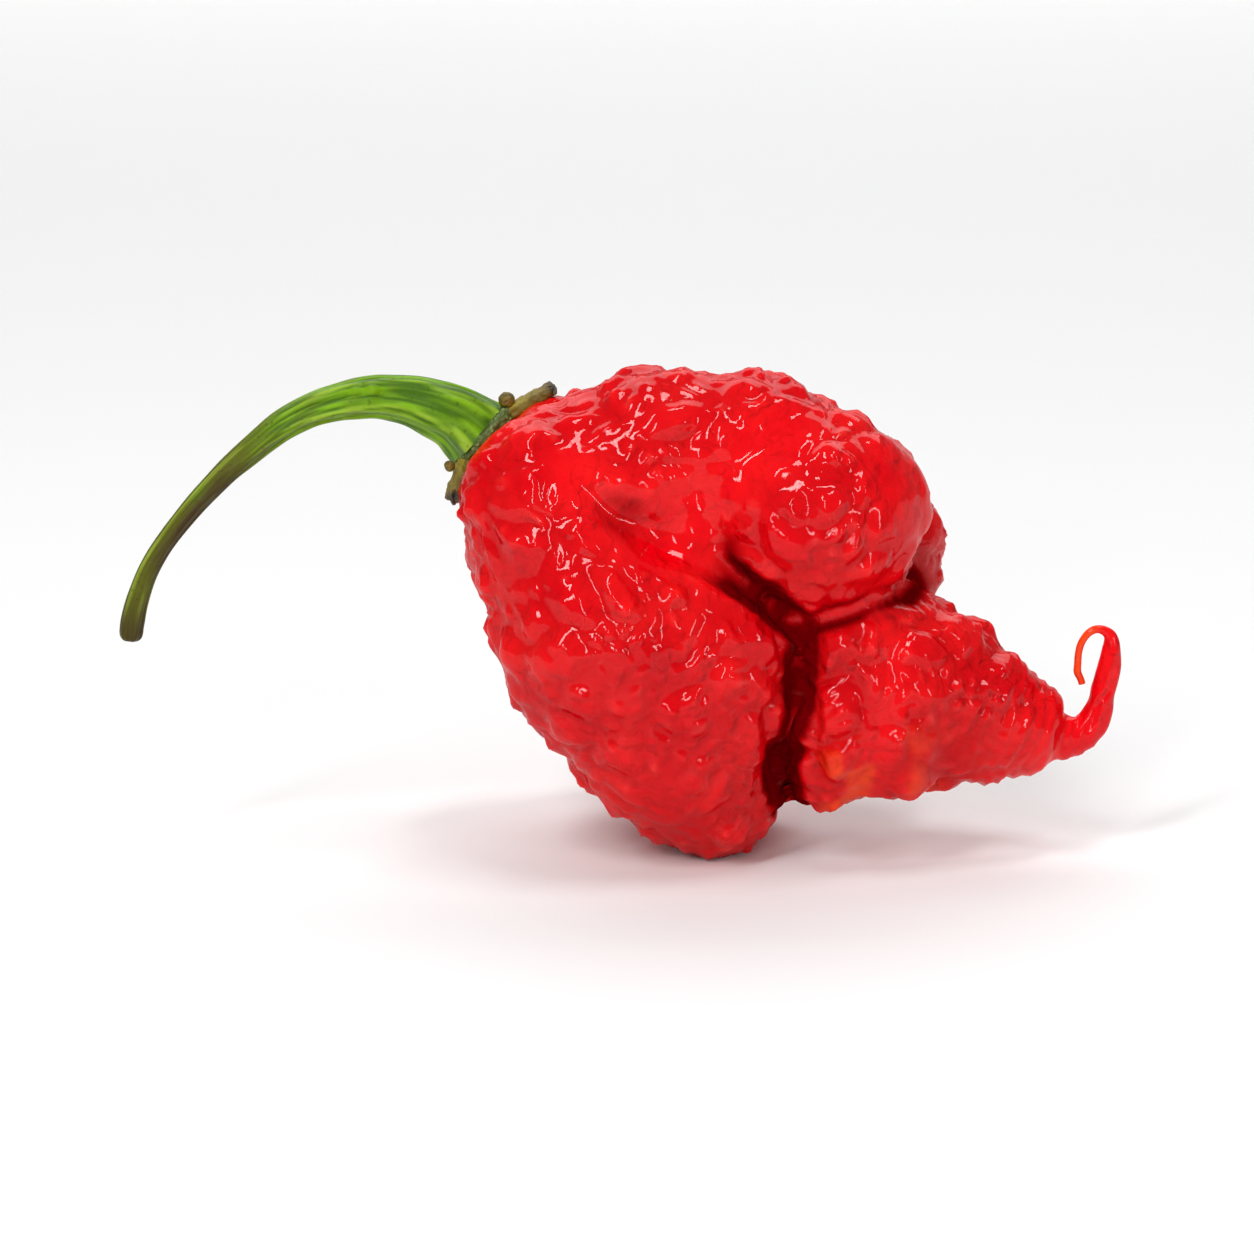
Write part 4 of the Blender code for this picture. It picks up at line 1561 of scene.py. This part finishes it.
    def knob(self, one: Knob) -> Skin:
        """Works out one knob: a ball with a lumpy skin.

        Args:
            one: the knob.

        Returns:
            The surface with tip, and the painted shade in its dents, at every point.
        """
        down = np.linspace(0.06, np.pi - 0.06, 40)[:, None]
        turn = np.linspace(0, 2 * np.pi, 57)[None, :-1]
        axis = self.seat.axis
        forward = self.spot(np.array(one.angle))
        beside = np.cross(axis, forward)
        ball = (
            np.cos(down)[..., None] * -axis
            + (np.sin(down) * np.cos(turn))[..., None] * forward
            + (np.sin(down) * np.sin(turn))[..., None] * beside
        )
        top = self.gap + self.thickness + 0.05
        middle = np.array(self.seat.middle) + one.out * forward + top * axis
        lumps = mottle(ball * 2.0 + one.angle, 0.7) - 0.5
        grid = middle + ball * (one.radius * (1 + 0.16 * lumps))[..., None]
        tip = 0.9 + 0 * lumps
        # Painted shade: darker in the knob's dents.
        edge = np.clip(0.25 - lumps, 0.0, 1.0)
        return Skin.over(grid, tip=tip, edge=edge)

    def dress(self) -> list[bpy.types.Object]:
        """Makes the cap, the lobes and the knobs, and sets them in the place of their solid.

        Returns:
            The pieces, the cap first.
        """
        cap = self.cap().piece("calyx_cap")
        cap.data.materials.append(self.cap_finish.material())
        dried = self.dried_finish.material()
        made = [cap]
        for i, one in enumerate(self.sepals, 1):
            made.append(self.sepal(one).piece(f"sepal_{i}"))
        for i, one in enumerate(self.knobs, 1):
            made.append(self.knob(one).piece(f"sepal_knob_{i}"))
        for piece in made[1:]:
            piece.data.materials.append(dried)
        for piece in made:
            settle_in(piece, Solid.CALYX)
        return made


@dataclass(frozen=True)
class SoftBox:
    """One soft light: its place and two sides in metres, its watts and what it faces."""

    name: str
    place: Place
    size: tuple[float, float]
    power: float
    aim: Place = PEPPER

    def hang(self) -> None:
        """Puts the light in the scene, turned to what it faces."""
        lamp = bpy.data.lights.new(self.name, "AREA")
        lamp.shape = "RECTANGLE"
        lamp.size, lamp.size_y = self.size
        lamp.energy = self.power
        place = Vector(self.place)
        facing_along(self.name, lamp, place, Vector(self.aim) - place)


@dataclass(frozen=True)
class Studio:
    """A plain pale floor, plain soft light, and the camera at the photograph's angle."""

    finish: FloorFinish
    boxes: tuple[SoftBox, ...] = (
        SoftBox("key", (-0.28, -0.46, 0.52), (0.09, 0.42), 2.8),
        SoftBox("top", (0.10, -0.05, 0.75), (0.30, 0.10), 1.5),
        SoftBox("front", (-0.12, -0.62, 0.26), (0.045, 0.30), 0.9),
        SoftBox("fill", (0.50, -0.55, 0.25), (0.05, 0.30), 0.9),
        SoftBox("backdrop", (0.0, 1.6, 1.4), (2.6, 1.8), 34.0, (0.0, 1.7, 0.0)),
    )
    room_light: float = 0.22
    floor_side: float = 2.2
    floor_front: float = -1.6
    floor_back: float = 2.6
    floor_bend: float = 0.5
    wall_top: float = 2.6
    lens: float = 135.0
    sensor: float = 36.0
    frame_width: float = 0.112
    elevation: float = 12.0

    def floor(self) -> None:
        """Lays the floor, which runs up behind: flat, then a quarter circle, then a wall."""
        turn = np.linspace(0, np.pi / 2, 24)
        back, bend = self.floor_back, self.floor_bend
        y = np.concatenate([[self.floor_front, back], back + bend * np.sin(turn), [back + bend]])
        z = np.concatenate([[0.0, 0.0], bend * (1 - np.cos(turn)), [self.wall_top]])
        x = np.array([-self.floor_side, self.floor_side])
        points = np.stack([np.repeat(x, len(y)), np.tile(y, 2), np.tile(z, 2)], 1)
        i = np.arange(len(y) - 1)
        faces = np.stack([i, i + len(y), i + len(y) + 1, i + 1], 1)
        mesh = bpy.data.meshes.new("floor")
        mesh.from_pydata(points.tolist(), [], faces.tolist())
        mesh.shade_smooth()
        mesh.materials.append(self.finish.material())
        in_scene("floor", mesh)

    def air(self) -> None:
        """Fills the room with an even white."""
        world = bpy.data.worlds.new("white room")
        world.use_nodes = True
        glow = world.node_tree.nodes["Background"]
        glow.inputs["Color"].default_value = (1.0, 1.0, 1.0, 1.0)
        glow.inputs["Strength"].default_value = self.room_light
        bpy.context.scene.world = world
        bpy.context.scene.view_settings.view_transform = "Standard"

    def camera(self) -> None:
        """Sets the camera as the photograph's: 12 degrees above the pepper, straight at its side."""
        angle = np.radians(self.elevation)
        away = self.frame_width * self.lens / self.sensor
        back = Vector((0.0, -np.cos(angle), np.sin(angle)))
        eye = bpy.data.cameras.new("camera")
        eye.lens = self.lens
        eye.sensor_width = self.sensor
        eye.clip_start = 0.01
        bpy.context.scene.camera = facing_along("camera", eye, Vector(PEPPER) + back * away, -back)

    def dress(self) -> None:
        """Sets up the floor, the air, the lights and the camera."""
        self.floor()
        self.air()
        for box in self.boxes:
            box.hang()
        self.camera()


def settle_in(piece: bpy.types.Object, solid: Solid) -> None:
    """Makes a piece stand for a solid.

    Args:
        piece: the piece.
        solid: the solid that it replaces.
    """
    node, slot = solid.value
    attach(piece, "root")
    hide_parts(node)


def main() -> None:
    """Builds the pepper piece by piece, then its studio."""
    logging.basicConfig(level=logging.INFO, format="%(name)s %(message)s")
    seat = CalyxFace()
    made = [Pod(seat, SkinFinish()).dress()]
    made += Calyx(seat, CapFinish(), DriedFinish()).dress()
    made.append(Stem(seat, StemFinish()).dress())
    for piece in made:
        LOG.info("%s: %d faces", piece.name, len(piece.data.polygons))
    Studio(FloorFinish()).dress()


if __name__ == "__main__":
    main()
